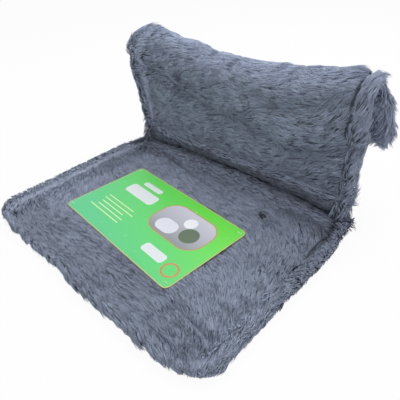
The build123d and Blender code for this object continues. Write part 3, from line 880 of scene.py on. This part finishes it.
def seat_top(x, y):
    """The cloth over the seat: crowned inside its seams, with two channels and a dimple."""
    edge = np.minimum(PANEL - np.abs(x), y - SEAT_FRONT - BAND)
    crown, p = np.sin(np.clip(edge / CROWN_WIDTH, 0, 1) * math.pi / 2), np.stack([x, y, 0 * x], -1)
    low, hidden = SEAM_HEIGHT - UNDER - 2.5, soft(y, AXIS_Y - CREASE_REACH, AXIS_Y - CREASE_REACH + 30)
    fold = 4.5 * hump(from_fold(x, y, CHANNEL), 6)
    fold = fold + 4 * hump(from_fold(x, y, REAR_FOLD), 7) * soft(x, 110, 50)
    z = low + (CREST - 3.5 - low + 0.9 * LUMPS(p) + 0.2 * SMALL_LUMPS(p) - fold) * crown
    z = z - 8 * hump(from_dimple(p.reshape(-1, 3)), 8).reshape(x.shape)
    z = z + LEFT_SEAM_FILL * (1 - crown) * soft(-x, 150, 200) * left_rise(y)
    z = z + LEFT_EDGE_RISE * soft(-x, 172, 220) * left_rise(y)
    return np.stack([x, y, z * (1 - hidden) + (AXIS_Z - 3) * hidden], -1)


def swell_walls(rims, line, out):
    """Makes the walls fuller along each side and at the front corners, and lifts the left wall's top."""
    x, y = line[:, 0], line[:, 1]
    ahead, share = y - SEAT_FRONT, np.linspace(0, 1, len(rims))[:, None]
    fade = smooth(share * 4)
    rims[..., :2] += out * (0.8 * SMALL_LUMPS(rims) * np.sin(share * math.pi))[..., None]
    right = RIGHT_EDGE_SWELL + REAR_EDGE_SWELL * soft(ahead, 140, 280) - 13 * soft(y, 50, 100)
    right, left = right + 3 * soft(ahead, 60, 20), LEFT_EDGE_SWELL * (1 - 0.5 * soft(y, 65, 110))
    rims[..., 0] += np.sign(x) * np.where(x < 0, left, right) * soft(np.abs(x), 200, 220) * fade
    front = FRONT_EDGE_SWELL * soft(x, -60, 0) * soft(x, 195, 165)
    rims[..., 1] -= front * (ahead < BAND + 2) * fade
    corner = np.where(x < 0, 1, 0.5) * hump(np.abs(x) - PANEL, 18) * hump(ahead - BAND - 14, 18)
    rims[..., :2] += out * (CORNER_SWELL * corner * fade)[..., None]
    rims[..., 2] += (LEFT_EDGE_RISE + 2) * (x < -200) * left_rise(y) * (1 - share**0.5)


def make_seat_skin():
    """The pad's top and underside as grids, and rims of points down the walls between them."""
    columns, lines = 121, 101
    front, rear = SEAT_FRONT + BAND, TAIL - TAIL_ROUND
    across = np.sin(np.linspace(-1, 1, columns) * math.pi / 2 * 0.985)
    back = np.linspace(0, 1, lines)[:, None]
    y = front + (rear - front) * (0.5 * back + 0.25 * (1 - np.cos(back * math.pi))) ** 1.15
    x = half_width(y, front, PANEL) * across / across[-1]
    y = np.broadcast_to(y, x.shape)
    top, under = seat_top(x, y), np.stack([x, y, 0 * x + 3], -1)
    border = grid_border(lines, columns)
    line = top.reshape(-1, 3)[border]
    ahead, behind = np.roll(line, -1, 0), np.roll(line, 1, 0)
    along = unit(unit((ahead - line)[:, :2]) + unit((line - behind)[:, :2]))
    out = np.stack([along[:, 1], -along[:, 0]], 1)
    reach = np.where(line[:, 1] > rear - 0.001, TAIL_ROUND, BAND)
    for _ in range(6):
        reach = (np.roll(reach, 1) + reach + np.roll(reach, -1)) / 3
    rims, seam_z = [], SEAM_HEIGHT - UNDER
    seam = soft(line[:, 0], 180, 210) * (0.2 + 0.8 * toward_rear(line[:, 1]))
    for turn in np.linspace(-0.12, 1, 11):
        if turn < 0:
            far, z = reach * 0.03, seam_z - 2.5 * seam
        else:
            far = (reach - 2) * (0.12 + 0.88 * math.sin(turn * math.pi) ** 0.7)
            z = SEAT_FOOT + (seam_z - SEAT_FOOT) * (1 + math.cos(turn * math.pi)) / 2
        rims.append(np.column_stack([line[:, :2] + out * far[:, None], np.full(len(line), z)]))
    rims = np.array(rims)
    swell_walls(rims, line, out)
    points = np.concatenate([part.reshape(-1, 3) for part in (top, rims, under)])
    x, edge = points[:, 0], HALF + RIGHT_EDGE_SWELL
    share = np.where(x < PANEL, soft(x, PANEL - 60, PANEL), np.clip((edge - x) / (edge - PANEL), 0, 1))
    share = share * soft(points[:, 1] - SEAT_FRONT, 15, 85) * (points[:, 2] > SEAT_FOOT + 1)
    points[:, 0] += (RIGHT_SEAM - PANEL) * share
    size, around, below = lines * columns, len(border), lines * columns + rims.shape[0] * len(border)
    loops = np.concatenate([border, np.arange(size, below), below + border])
    walls = loops[grid_quads(len(rims) + 2, around, around=True)[:, ::-1]]
    quads = [grid_quads(lines, columns), walls, grid_quads(lines, columns, below)[:, ::-1]]
    height = [np.ones(size), np.repeat(np.linspace(1, 0, len(rims)), around), -np.ones(size)]
    return Skin(points, np.concatenate(quads), height=np.concatenate(height))


def comb_seat(p, n, v):
    """Nap of the seat: along X on top, turning to the front near the right seam, and round the bands."""
    x, y, ahead, height = p[:, 0], p[:, 1], p[:, 1] - SEAT_FRONT, v["height"]
    right, rear, streak, bow = soft(x, 90, 215), toward_rear(y), STREAKS(p * STREAK_SHAPE), SMALL_WANDER(p)
    at_side, at_front = facing(np.abs(n[:, 0])), facing(-n[:, 1])
    edge, front = np.maximum(at_side, at_front), at_front * (1 - at_side)
    top, left = 1 - edge, (x < 0) * edge * (1 - front)
    corner = soft(np.abs(x), 178, 223) * soft(ahead, 58, 13)
    rim = soft(-x, PANEL - 22, PANEL - 8) * (ahead > 20)
    feather = soft(x, 130, 180) * (0.35 + 0.65 * rear)

    turn = -(8 + 56 * right + 26 * soft(-x, 130, 210)) + 8 * WANDER(p) + 2.5 * bow
    up = np.where(x < 0, 0.9, 0.7 * rear) + 0.3 * bow
    side = np.where(x < 0, 0.5, 1)[:, None] * ray(0, -0.8, 0) + up[:, None] * ray(0, 0, 1)
    face = ray(1, 0, -0.25) + bow[:, None] * ray(0, 0, 0.35)
    way = turned(turn, ALONG_X, ray(0, 1, 0)) * ((1 - at_side) * (1 - at_front))[:, None]
    way = way + side * at_side[:, None] + face * at_front[:, None]

    length = 21 * (1 - 0.12 * edge) * (1 - 0.5 * corner * edge * (1 + 0.6 * (x > 0))) * (1 - 0.15 * left)
    length = length * (1 - 0.55 * corner * top * (x > 0))
    flat, away = unit(way), DIMPLE - p[:, :2]
    toward = away[:, 0] * flat[:, 0] + away[:, 1] * flat[:, 1]
    beside = away[:, 0] * flat[:, 1] - away[:, 1] * flat[:, 0]
    clear = toward - np.sqrt(np.maximum(DIMPLE_RADIUS**2 - beside**2, 0))
    meets = (toward > 0) & (np.abs(beside) < DIMPLE_RADIUS)
    length = np.where(meets, np.clip(clear, 3, length), length) * (1 - 0.3 * rim * top)

    scallop = ((x / SCALLOP + 0.3 * LUMPS(p)) % 1.0) * soft(x, -60, 0)
    rise = 4.5 + 6.5 * edge + front * (5.5 * scallop - 3 - 3.5 * soft(-x, 40, 120)) + left
    rise = (rise + 3 * rim * (1 - left)) * (1 - 0.5 * corner * (x > 0))
    rise = rise + (2.5 * feather * rear - 1.3 * right * (1 - rear)) * top + 0.4 * streak

    # The tone below is painted light and shade: painted light on the walls, near the left edge and on the
    # left wall's strip, where the pile stands in shade, and a painted highlight along the front half of the
    # right seam; painted shade in the rear half of the right seam, towards the crease, along the rear fold
    # and the channel and in the right corner. It is a little darker towards the front, and the streaks vary
    # the pile at random.
    shown = height > 0.99
    seam = hump(x - RIGHT_SEAM, 5) * (height > 0.8) * (1.4 * rear - 0.4)
    tone = 0.95 + 0.1 * edge + 0.2 * soft(-x, 165, 215) * top + 0.27 * soft(-x, PANEL - 7, PANEL + 3)
    tone = tone - 0.22 * seam - 0.38 * soft(y, AXIS_Y - 70, AXIS_Y - 30) * shown
    tone = tone - 0.1 * soft(ahead, 95, 55) * top * (1 - right) + 0.035 * streak - 0.35 * hollow_shade(p)
    rear_fold_shade = hump(from_fold(x, y, REAR_FOLD), 4) * soft(x, 90, -30)
    tone = tone - (0.4 * rear_fold_shade + 0.2 * hump(from_fold(x, y, CHANNEL), 4)) * top * shown
    # A narrow strip along the front half of the right seam: shorter pile and a painted highlight.
    ridge = hump(x - RIGHT_SEAM + 9 * soft(ahead, 85, 15), 2.5) * (1 - rear) * (height > 0.8) * (ahead > 25)
    return {
        "way": way,
        "length": length * (1 - 0.65 * ridge),
        "rise": rise,
        "width": 0.62 * (1 + 0.3 * edge),
        "tone": tone + 0.55 * ridge,
        "gather": 0.45 + 0.35 * feather,
    }


def card_distance(x, y):
    """How far a place lies outside the card's outline in plan."""
    c, s = math.cos(CARD_TURN), math.sin(CARD_TURN)
    dx, dy = x - CARD_X, y - CARD_Y
    a = np.abs(dx * c + dy * s - CARD_LENGTH / 2) - CARD_LENGTH / 2 + CARD_ROUND
    b = np.abs(dy * c - dx * s - CARD_WIDTH / 2) - CARD_WIDTH / 2 + CARD_ROUND
    return np.hypot(np.maximum(a, 0), np.maximum(b, 0)) + np.minimum(np.maximum(a, b), 0) - CARD_ROUND


def settle(points, roots):
    """Keeps the pile off the floor, under the card and inside the part's width."""
    x, y, z = np.moveaxis(points, -1, 0)
    gap = card_distance(x, y)
    room = CARD_LOW - 0.5 + np.maximum(gap, 0) * 0.9
    z = np.where(gap < 12, np.minimum(z, room), z)
    return np.stack([keep_within(x), y, np.maximum(z, FLOOR_GAP + 0.2 * np.sin(0.9 * x))], -1)


def press(points, roots):
    """Bends the left side's pile over the seat's edge and stops the top's pile at the right seam."""
    x, y, z = np.moveaxis(settle(points, roots), -1, 0)
    root = roots[:, :1]
    high = np.where(root < 4 - PANEL, np.maximum(z - LEFT_TOP, 0), 0)
    x, z = x + 1.1 * high, z - 0.65 * high
    stray = 5 * np.maximum(SMALL_WANDER(roots), 0) + 10 * (1 - toward_rear(roots[:, 1]))
    stop = RIGHT_SEAM - 1.5 + stray[:, None]
    x = np.where((root < RIGHT_SEAM) & (x > stop), stop + 0.15 * (x - stop), x)
    return np.stack([x, y, z], -1)


# Corner between seat and back: the cover bends here
CREASE_ROWS = 14
CREASE_LOW = 11
CREASE_RISE = 10


def make_crease_skin():
    """A fold of cloth from the seat down into the groove and up the back, with a flat rear."""
    xs = stations()
    rise = CREASE_LOW + CREASE_RISE * np.clip(1 - (xs / 200) ** 2, 0, 1)
    at = lambda t, lift: np.stack([0 * xs + t, rise + lift], 1)[:, None]
    fixed = lambda t, s: np.broadcast_to(np.array([t, s], float), (len(xs), 1, 2))
    v = np.linspace(0, 1, CREASE_ROWS)[None, :, None]
    curve = lambda p, q, r: p * (1 - v) ** 2 + q * 2 * v * (1 - v) + r * v**2
    seat_side = curve(fixed(-46, 2.5), at(-22, 4), at(0, -5))
    back_side = curve(at(0, -5), at(-30, 15), fixed(-4, 48))
    front = np.concatenate([fixed(-60, -6), seat_side, back_side[:, 1:], fixed(-2, 58)], 1)
    aside = soft(np.abs(xs), PANEL - 6, PANEL + 3)[:, None]
    t, s = front[..., 0], front[..., 1]
    front = np.stack([t * (1 - aside) + np.maximum(t, 0.3 * s - 20) * aside, s], -1)
    rear_s = np.broadcast_to(np.linspace(-6, 58, front.shape[1]), t.shape)
    rear = np.stack([0 * t + SKIN_INNER + ARM_OFFSET - UNDER, rear_s], -1)
    mid, spread = (front + rear) / 2, (front - rear) / 2
    fade = side_fade(xs)[:, None, None]
    dip = seam_dip(xs)[:, None, None] * unit(spread) * SEAM_DEPTH
    loops = np.concatenate([mid + (spread - dip) * fade, (mid - (spread - dip * 0.3) * fade)[:, ::-1]], 1)
    x = np.broadcast_to(xs[:, None], loops.shape[:2])
    points = np.stack([x, AXIS_Y + loops[..., 0], AXIS_Z + loops[..., 1]], -1)
    points[..., 1] += 0.5 * SMALL_LUMPS(points)
    inner = np.repeat([[0.0, 1.0]], len(xs), 0).repeat(front.shape[1], 1)
    return Skin(points.reshape(-1, 3), grid_quads(*x.shape, around=True), inner=inner.ravel())


def comb_crease(p, n, v):
    """Nap of the fold: along X, and down at its ends."""
    x, y, z, left = p[:, 0], p[:, 1], p[:, 2], p[:, 0] < 0
    edge = facing(np.abs(n[:, 0]))
    outer = (1 - v["inner"]) * (1 - edge)
    depth = soft(y - AXIS_Y, -32, -14) * outer
    # The rear fold's line, used to paint shade along it.
    line = hump(from_fold(x, y, REAR_FOLD), 4) * (z < AXIS_Z + 22) * outer * soft(x, 60, -20)
    face = turned(4 + 9 * WANDER(p) + 8 * SMALL_WANDER(p), ALONG_X, ray(0, -0.3, 1))
    # Tone: painted shade down in the groove, along the rear fold's line and in the right corner, and
    # painted light on the ends.
    return {
        "way": between(face, ray(0, -0.7, -0.7), edge),
        "length": 15 * (1 + 0.2 * edge),
        "rise": 4 + (2.5 + 5.5 * left) * edge - 2 * depth,
        "width": 0.72 * (1 + 0.2 * edge),
        "tone": 0.85 - 0.5 * depth * (z < AXIS_Z + 38) + 0.2 * edge - 0.4 * hollow_shade(p) - 0.4 * line,
        "gather": 0.5,
    }


# Covers: the ground cloth of each skin, with its pile
FOLD = ("seat", "back", (0, AXIS_Y * MM, (AXIS_Z + 6) * MM), (0, AXIS_Y * MM, (AXIS_Z + CREASE_REACH) * MM))


def cover(name, skin, body, fill, *solids):
    made = dress(tidy(new_mesh(name, skin.points, [skin.quads])), body, BACKING, "plush", *solids)
    return made.data


def shade_ground(mesh, share):
    """Marks how much painted shade darkens the ground cloth at each point."""
    at = np.zeros(len(mesh.vertices) * 3, np.float32)
    mesh.vertices.foreach_get("co", at)
    mark(mesh, "deep", share(at.reshape(-1, 3) / MM))


def make_seat():
    skin = make_seat_skin()
    names = ["seat_top_plush", "seat_front_band", "seat_left_band", "seat_right_band"]
    mesh = cover("seat_cover", skin, "seat", 0.5, *names)
    # Painted shade on the ground cloth in the dimple.
    shade_ground(mesh, lambda p: hump(from_dimple(p), 12))
    height, x, y = skin.values["height"], skin.points[:, 0], skin.points[:, 1]
    hidden = soft(y, AXIS_Y - CREASE_REACH + 8, AXIS_Y - CREASE_REACH + 14) * (height > 0.99)
    weight = (height >= 0.12) * (1 - hidden) * np.where(height < 0.99, 1.5, 1.0)
    weight = weight * (1 - 0.65 * toward_rear(y) * ((height > 0.82) & (height < 0.99) & (x > 190)))
    weight = weight * np.where(card_distance(x, y) < -14, 0.12, 1.0)
    weight = weight * (from_dimple(skin.points) > DIMPLE_RADIUS)
    grow("seat_pile", skin, 60000, weight, comb_seat, "seat", SEED + 1, press)


def make_back():
    skin = make_back_skin()
    nodes = ["back_front_plush", "back_rear_plush", "left_side_band", "right_side_band", "hook_top_plush"]
    nodes += ["hook_inner_lining", "flap_rear_plush", "flap_front_lining", "flap_hem"]
    cover("back_cover", skin, "back", 0.55, *nodes)
    w, inner, x, z = skin.values["w"], skin.values["inner"] > 0.5, skin.points[:, 0], skin.points[:, 2]
    bare = inner & (w < 1) & (np.abs(x) < 184) & (z < 93) | (np.abs(x - seam_at(z)) < 1.5)
    weight = np.where(bare, 0.0, 1.0) * np.where(inner, 0.45, 1.0)
    weight = weight * np.where(x > PANEL, 1.4, 1.0) * np.where(x < -PANEL, 2.4, 1.0)
    weight = weight * np.where(inner & (w > 1.8) & (x > 110), 2.4, 1.0)
    grow("back_pile", skin, 72000, weight, comb_back, "back", SEED + 2, part_seams, wrap_bend)


def make_crease():
    skin = make_crease_skin()
    names = ["crease_cover", "left_corner_cover", "right_corner_cover", "rear_corner_cover"]
    mesh = cover("crease_fold", skin, FOLD, 0.4, *names)
    # Painted shade on the ground cloth down in the groove between seat and back.
    shade_ground(mesh, lambda p: soft(p[:, 1] - AXIS_Y, -34, -20) * (p[:, 1] < AXIS_Y + 6))
    x, y, z = skin.points.T
    stray = 4 * SMALL_WANDER(skin.points)
    groove = (y > AXIS_Y - 10 + stray) & (z < AXIS_Z + 32 + stray)
    bare = (groove | (z < AXIS_Z - 2)) & (skin.values["inner"] < 0.5) & (np.abs(x) < PANEL)
    grow("crease_pile", skin, 15000, np.where(bare, 0.0, 1.0), comb_crease, FOLD, SEED + 3, settle)


def make_wadding(name, solid, body, seed):
    """A solid of the frame made soft: rounded, eased and dented a little."""
    made = new_object(name, frame["nodes"][solid].data.copy())
    step = made.modifiers.new("remesh", "REMESH")
    step.mode, step.voxel_size = "VOXEL", 4 * MM
    ease = made.modifiers.new("ease", "SMOOTH")
    ease.factor, ease.iterations = 0.5, 4
    made.data = bpy.data.meshes.new_from_object(made.evaluated_get(bpy.context.evaluated_depsgraph_get()))
    made.modifiers.clear()
    points, normals = np.zeros((2, len(made.data.vertices) * 3))
    made.data.vertices.foreach_get("co", points)
    made.data.vertices.foreach_get("normal", normals)
    points, normals = points.reshape(-1, 3), normals.reshape(-1, 3)
    depth = (0.5 * np.abs(ripple(seed, 30)(points / MM)) + 0.3) * MM
    made.data.vertices.foreach_set("co", (points - normals * depth[:, None]).ravel())
    for face in made.data.polygons:
        face.use_smooth = True
    made.data.materials.clear()
    dress(made, body, FIBRE, "wadding", solid)


# Underside: a woven sheet with a row of stitches round it
LINING_EDGE = 5
STITCH = 3.2
STITCH_HEIGHT = 0.45
STITCH_THICK = 0.28
STITCH_SHAPE = [(0.0, 0.3), (0.2, 0.75), (0.5, 1.0), (0.8, 0.75), (1.0, 0.3)]


def plan_outline(half, front, rear, radius):
    """An even walk, a stitch to a step, round a rectangle whose front corners are round."""
    turn = np.radians(np.linspace(180, 270, 13))
    corner = np.stack([radius - half + radius * np.cos(turn), front + radius + radius * np.sin(turn)], 1)
    left = np.concatenate([[(-half, rear)], corner])
    points = np.concatenate([left, left[::-1] * (-1, 1), left[:1]])
    far = np.append(0, np.cumsum(np.linalg.norm(np.diff(points, axis=0), axis=1)))
    walk = np.linspace(0, far[-1], int(far[-1] / STITCH), endpoint=False)
    return np.stack([np.interp(walk, far, points[:, k]) for k in range(2)], 1)


def make_stitches(name, line, body):
    """Short threads, each a small six-sided spindle, end to end along a line."""
    angles, points, quads = np.arange(6) * math.pi / 3, [], []
    for number, (a, b) in enumerate(zip(line, np.roll(line, -1, 0))):
        across = unit(b - a)[::-1] * (-1, 1)
        for share, size in STITCH_SHAPE:
            thick, middle = STITCH_THICK * size, a + (b - a) * (0.12 + 0.76 * share)
            flat = middle + np.outer(np.cos(angles), across) * thick
            points.append(np.column_stack([flat, STITCH_HEIGHT + thick * np.sin(angles)]))
        quads.append(grid_quads(len(STITCH_SHAPE), 6, number * len(STITCH_SHAPE) * 6, around=True))
    return dress(new_mesh(name, np.concatenate(points), [np.concatenate(quads)]), body, THREAD, "lining")


def make_lining():
    (_, front, _), (half, rear, _) = box("seat_base_lining")
    y = np.linspace(front, rear - 1, 73)[:, None]
    x = half_width(y, front, half) * np.linspace(-1, 1, 89)
    y = np.broadcast_to(y, x.shape)
    p = np.stack([x, y, 0 * x], -1)
    pucker = 0.35 * np.abs(SMALL_LUMPS(p)) + 0.25 * np.abs(LUMPS(p))
    upper, lower = (np.stack([x, y, z + pucker], -1) for z in (1.1, 0.25))
    made = tidy(new_mesh("base_lining_cloth", *slab(upper, lower)))
    dress(made, "seat", LINING, "lining", "seat_base_lining")
    edge = LINING_EDGE
    line = plan_outline(half - edge, front + edge, rear - edge, FRONT_ROUND - edge)
    stitches = make_stitches("lining_stitches", line, "seat")


def make_card_sheet():
    """A thin coated sheet with round corners and a slight warp."""
    x, y = np.meshgrid(np.linspace(0, CARD_LENGTH, 95), np.linspace(0, CARD_WIDTH, 57))
    dx, dy = x - CARD_LENGTH / 2, y - CARD_WIDTH / 2
    over_x = np.maximum(np.abs(dx) - CARD_LENGTH / 2 + CARD_ROUND, 0)
    over_y = np.maximum(np.abs(dy) - CARD_WIDTH / 2 + CARD_ROUND, 0)
    pull = 1 - np.maximum(np.maximum(over_x, over_y), 1e-9) / np.maximum(np.hypot(over_x, over_y), 1e-9)
    x, y = x - np.sign(dx) * over_x * pull, y - np.sign(dy) * over_y * pull
    warp = 0.12 * np.sin(x / CARD_LENGTH * 5.1 + 0.4) * np.sin(y / CARD_WIDTH * 3.3 + 1.0) + 0.14
    c, s = math.cos(CARD_TURN), math.sin(CARD_TURN)
    plan = [CARD_X + x * c - y * s, CARD_Y + x * s + y * c]
    upper, lower = (np.stack([*plan, z + warp], -1) for z in (CARD_HIGH - 0.28, CARD_LOW - 0.02))
    points, quads = slab(upper, lower)
    made = new_mesh("label_card_sheet", points, quads, False)
    add_map(made.data, "face", np.tile(np.stack([x.ravel(), y.ravel()], 1), (2, 1))[quads[0].ravel()])
    dress(made, "seat", CARD, "card", "label_card")


def make_tape(name, solid, body):
    """A woven closure tape with thick edges."""
    (left, front, bottom), (right, rear, top) = box(solid)
    x, z = np.meshgrid(np.linspace(left, right, 181), np.linspace(bottom, top, 13))
    share = (z - bottom) / (top - bottom) * 2 - 1
    border = np.clip((np.abs(share) - 0.72) / 0.28, 0, 1)
    nap = 0.18 * np.abs(ripple(31, 3)(np.stack([x, 0 * x, z], -1))) * (1 - smooth(border * 3))
    thick = (rear - front) * (0.62 + 0.2 * np.sin(border * math.pi)) + nap
    outer = np.stack([x, front + np.minimum(thick, rear - front), z], -1)
    inner = np.stack([x, 0 * x + front + 0.04, z], -1)
    dress(tidy(new_mesh(name, *slab(outer, inner))), body, TAPE, "closure", solid)


def dress_frame():
    """The pieces of the frame that keep their solids get their finish."""
    steel = ["seat_frame_rail", "left_axle_bracket", "right_axle_bracket", "hinge_axle"]
    steel += ["left_hook_arm", "right_hook_arm", "hook_cross_rod"]
    moulded = ["axle_washers", "axle_end_caps"]
    for group, finish in ((steel, STEEL), (moulded, NYLON), (["card_tag_pins"], PIN)):
        for name in group:
            mesh = frame["nodes"][name].data
            mesh.materials.clear()
            mesh.materials.append(finish)


# Room: a pale floor, soft lamps and the camera
FLOOR_REACH = 4000
WORLD_STRENGTH = 0.5
CAMERA_PLACE = Vector((0.4201, -0.4155, 0.4477))
CAMERA_TURN = math.radians(43.84)
CAMERA_TILT = math.radians(35.97)
CAMERA_ROLL = math.radians(-2.83)
CAMERA_LENS = 36.46
LAMPS = [
    ("key", (-0.5, -0.8, 1.7), (0, -0.05, 0.1), 1.3, 5.5),
    ("fill", (1.5, -0.7, 0.9), (0, -0.05, 0.1), 1.2, 5),
    ("top", (0.0, 0.8, 1.4), (0, 0.05, 0.15), 1.4, 14),
]


def make_floor():
    corners = np.array([(-1, -1, 0), (1, -1, 0), (1, 1, 0), (-1, 1, 0)]) * FLOOR_REACH
    floor = new_mesh("floor", corners, [np.array([[0, 1, 2, 3]])])
    look = Look("floor_paper")
    colour = look.mix(look.noise(look.place, 400.0), rgb(0.84, 0.84, 0.84), rgb(0.88, 0.88, 0.88))
    look.join(colour, look.shader.inputs["Base Color"])
    look.join(0.9, look.shader.inputs["Roughness"])
    share = look.math("MULTIPLY", look.seen(), 0.94)
    glow = look.add("Emission", {"Color": rgb(1, 1, 1), "Strength": 1.0})
    blend = look.add("MixShader", {0: share, 1: look.shader.outputs[0], 2: glow.outputs[0]})
    look.join(blend.outputs[0], look.tree.nodes["Material Output"].inputs["Surface"])
    floor.data.materials.append(look.made)


def make_world():
    world = bpy.data.worlds.new("studio")
    bpy.context.scene.world = world
    world.use_nodes = True
    sky = Nodes(world.node_tree)
    back = sky.tree.nodes["Background"].inputs
    sky.join(rgb(1, 1, 1), back["Color"])
    sky.join(sky.ramp(sky.seen(), 0, 1, WORLD_STRENGTH, 1.0), back["Strength"])


def make_lamps():
    for name, place, aim, size, power in LAMPS:
        light = bpy.data.lights.new(name, "AREA")
        light.shape, light.size, light.energy = "DISK", size, power
        made = new_object(name, light)
        made.location = place
        made.rotation_euler = (Vector(aim) - Vector(place)).to_track_quat("-Z", "Y").to_euler()


def make_camera():
    level = math.cos(CAMERA_TILT)
    back = Vector((math.sin(CAMERA_TURN) * level, -math.cos(CAMERA_TURN) * level, math.sin(CAMERA_TILT)))
    right = (-back).cross(Vector((0, 0, 1))).normalized()
    up = right.cross(-back)
    c, s = math.cos(CAMERA_ROLL), math.sin(CAMERA_ROLL)
    data = bpy.data.cameras.new("camera")
    data.lens, data.sensor_width, data.clip_start = CAMERA_LENS, 36.0, 0.01
    made = new_object("camera", data)
    turn = Matrix((right * c + up * s, up * c - right * s, back)).transposed().to_4x4()
    made.matrix_world = Matrix.Translation(CAMERA_PLACE) @ turn
    bpy.context.scene.camera = made


make_seat()
make_back()
make_crease()
make_wadding("seat_batting", "seat_wadding", "seat", 51)
make_wadding("back_batting", "back_wadding", "back", 52)
make_wadding("flap_batting", "flap_wadding", "back", 53)
make_lining()
make_card_sheet()
make_tape("loop_tape", "closure_loop_strip", "back")
make_tape("hook_tape", "closure_hook_strip", "back")
dress_frame()
make_floor()
make_world()
make_lamps()
make_camera()
bpy.context.scene.view_settings.view_transform = "Standard"
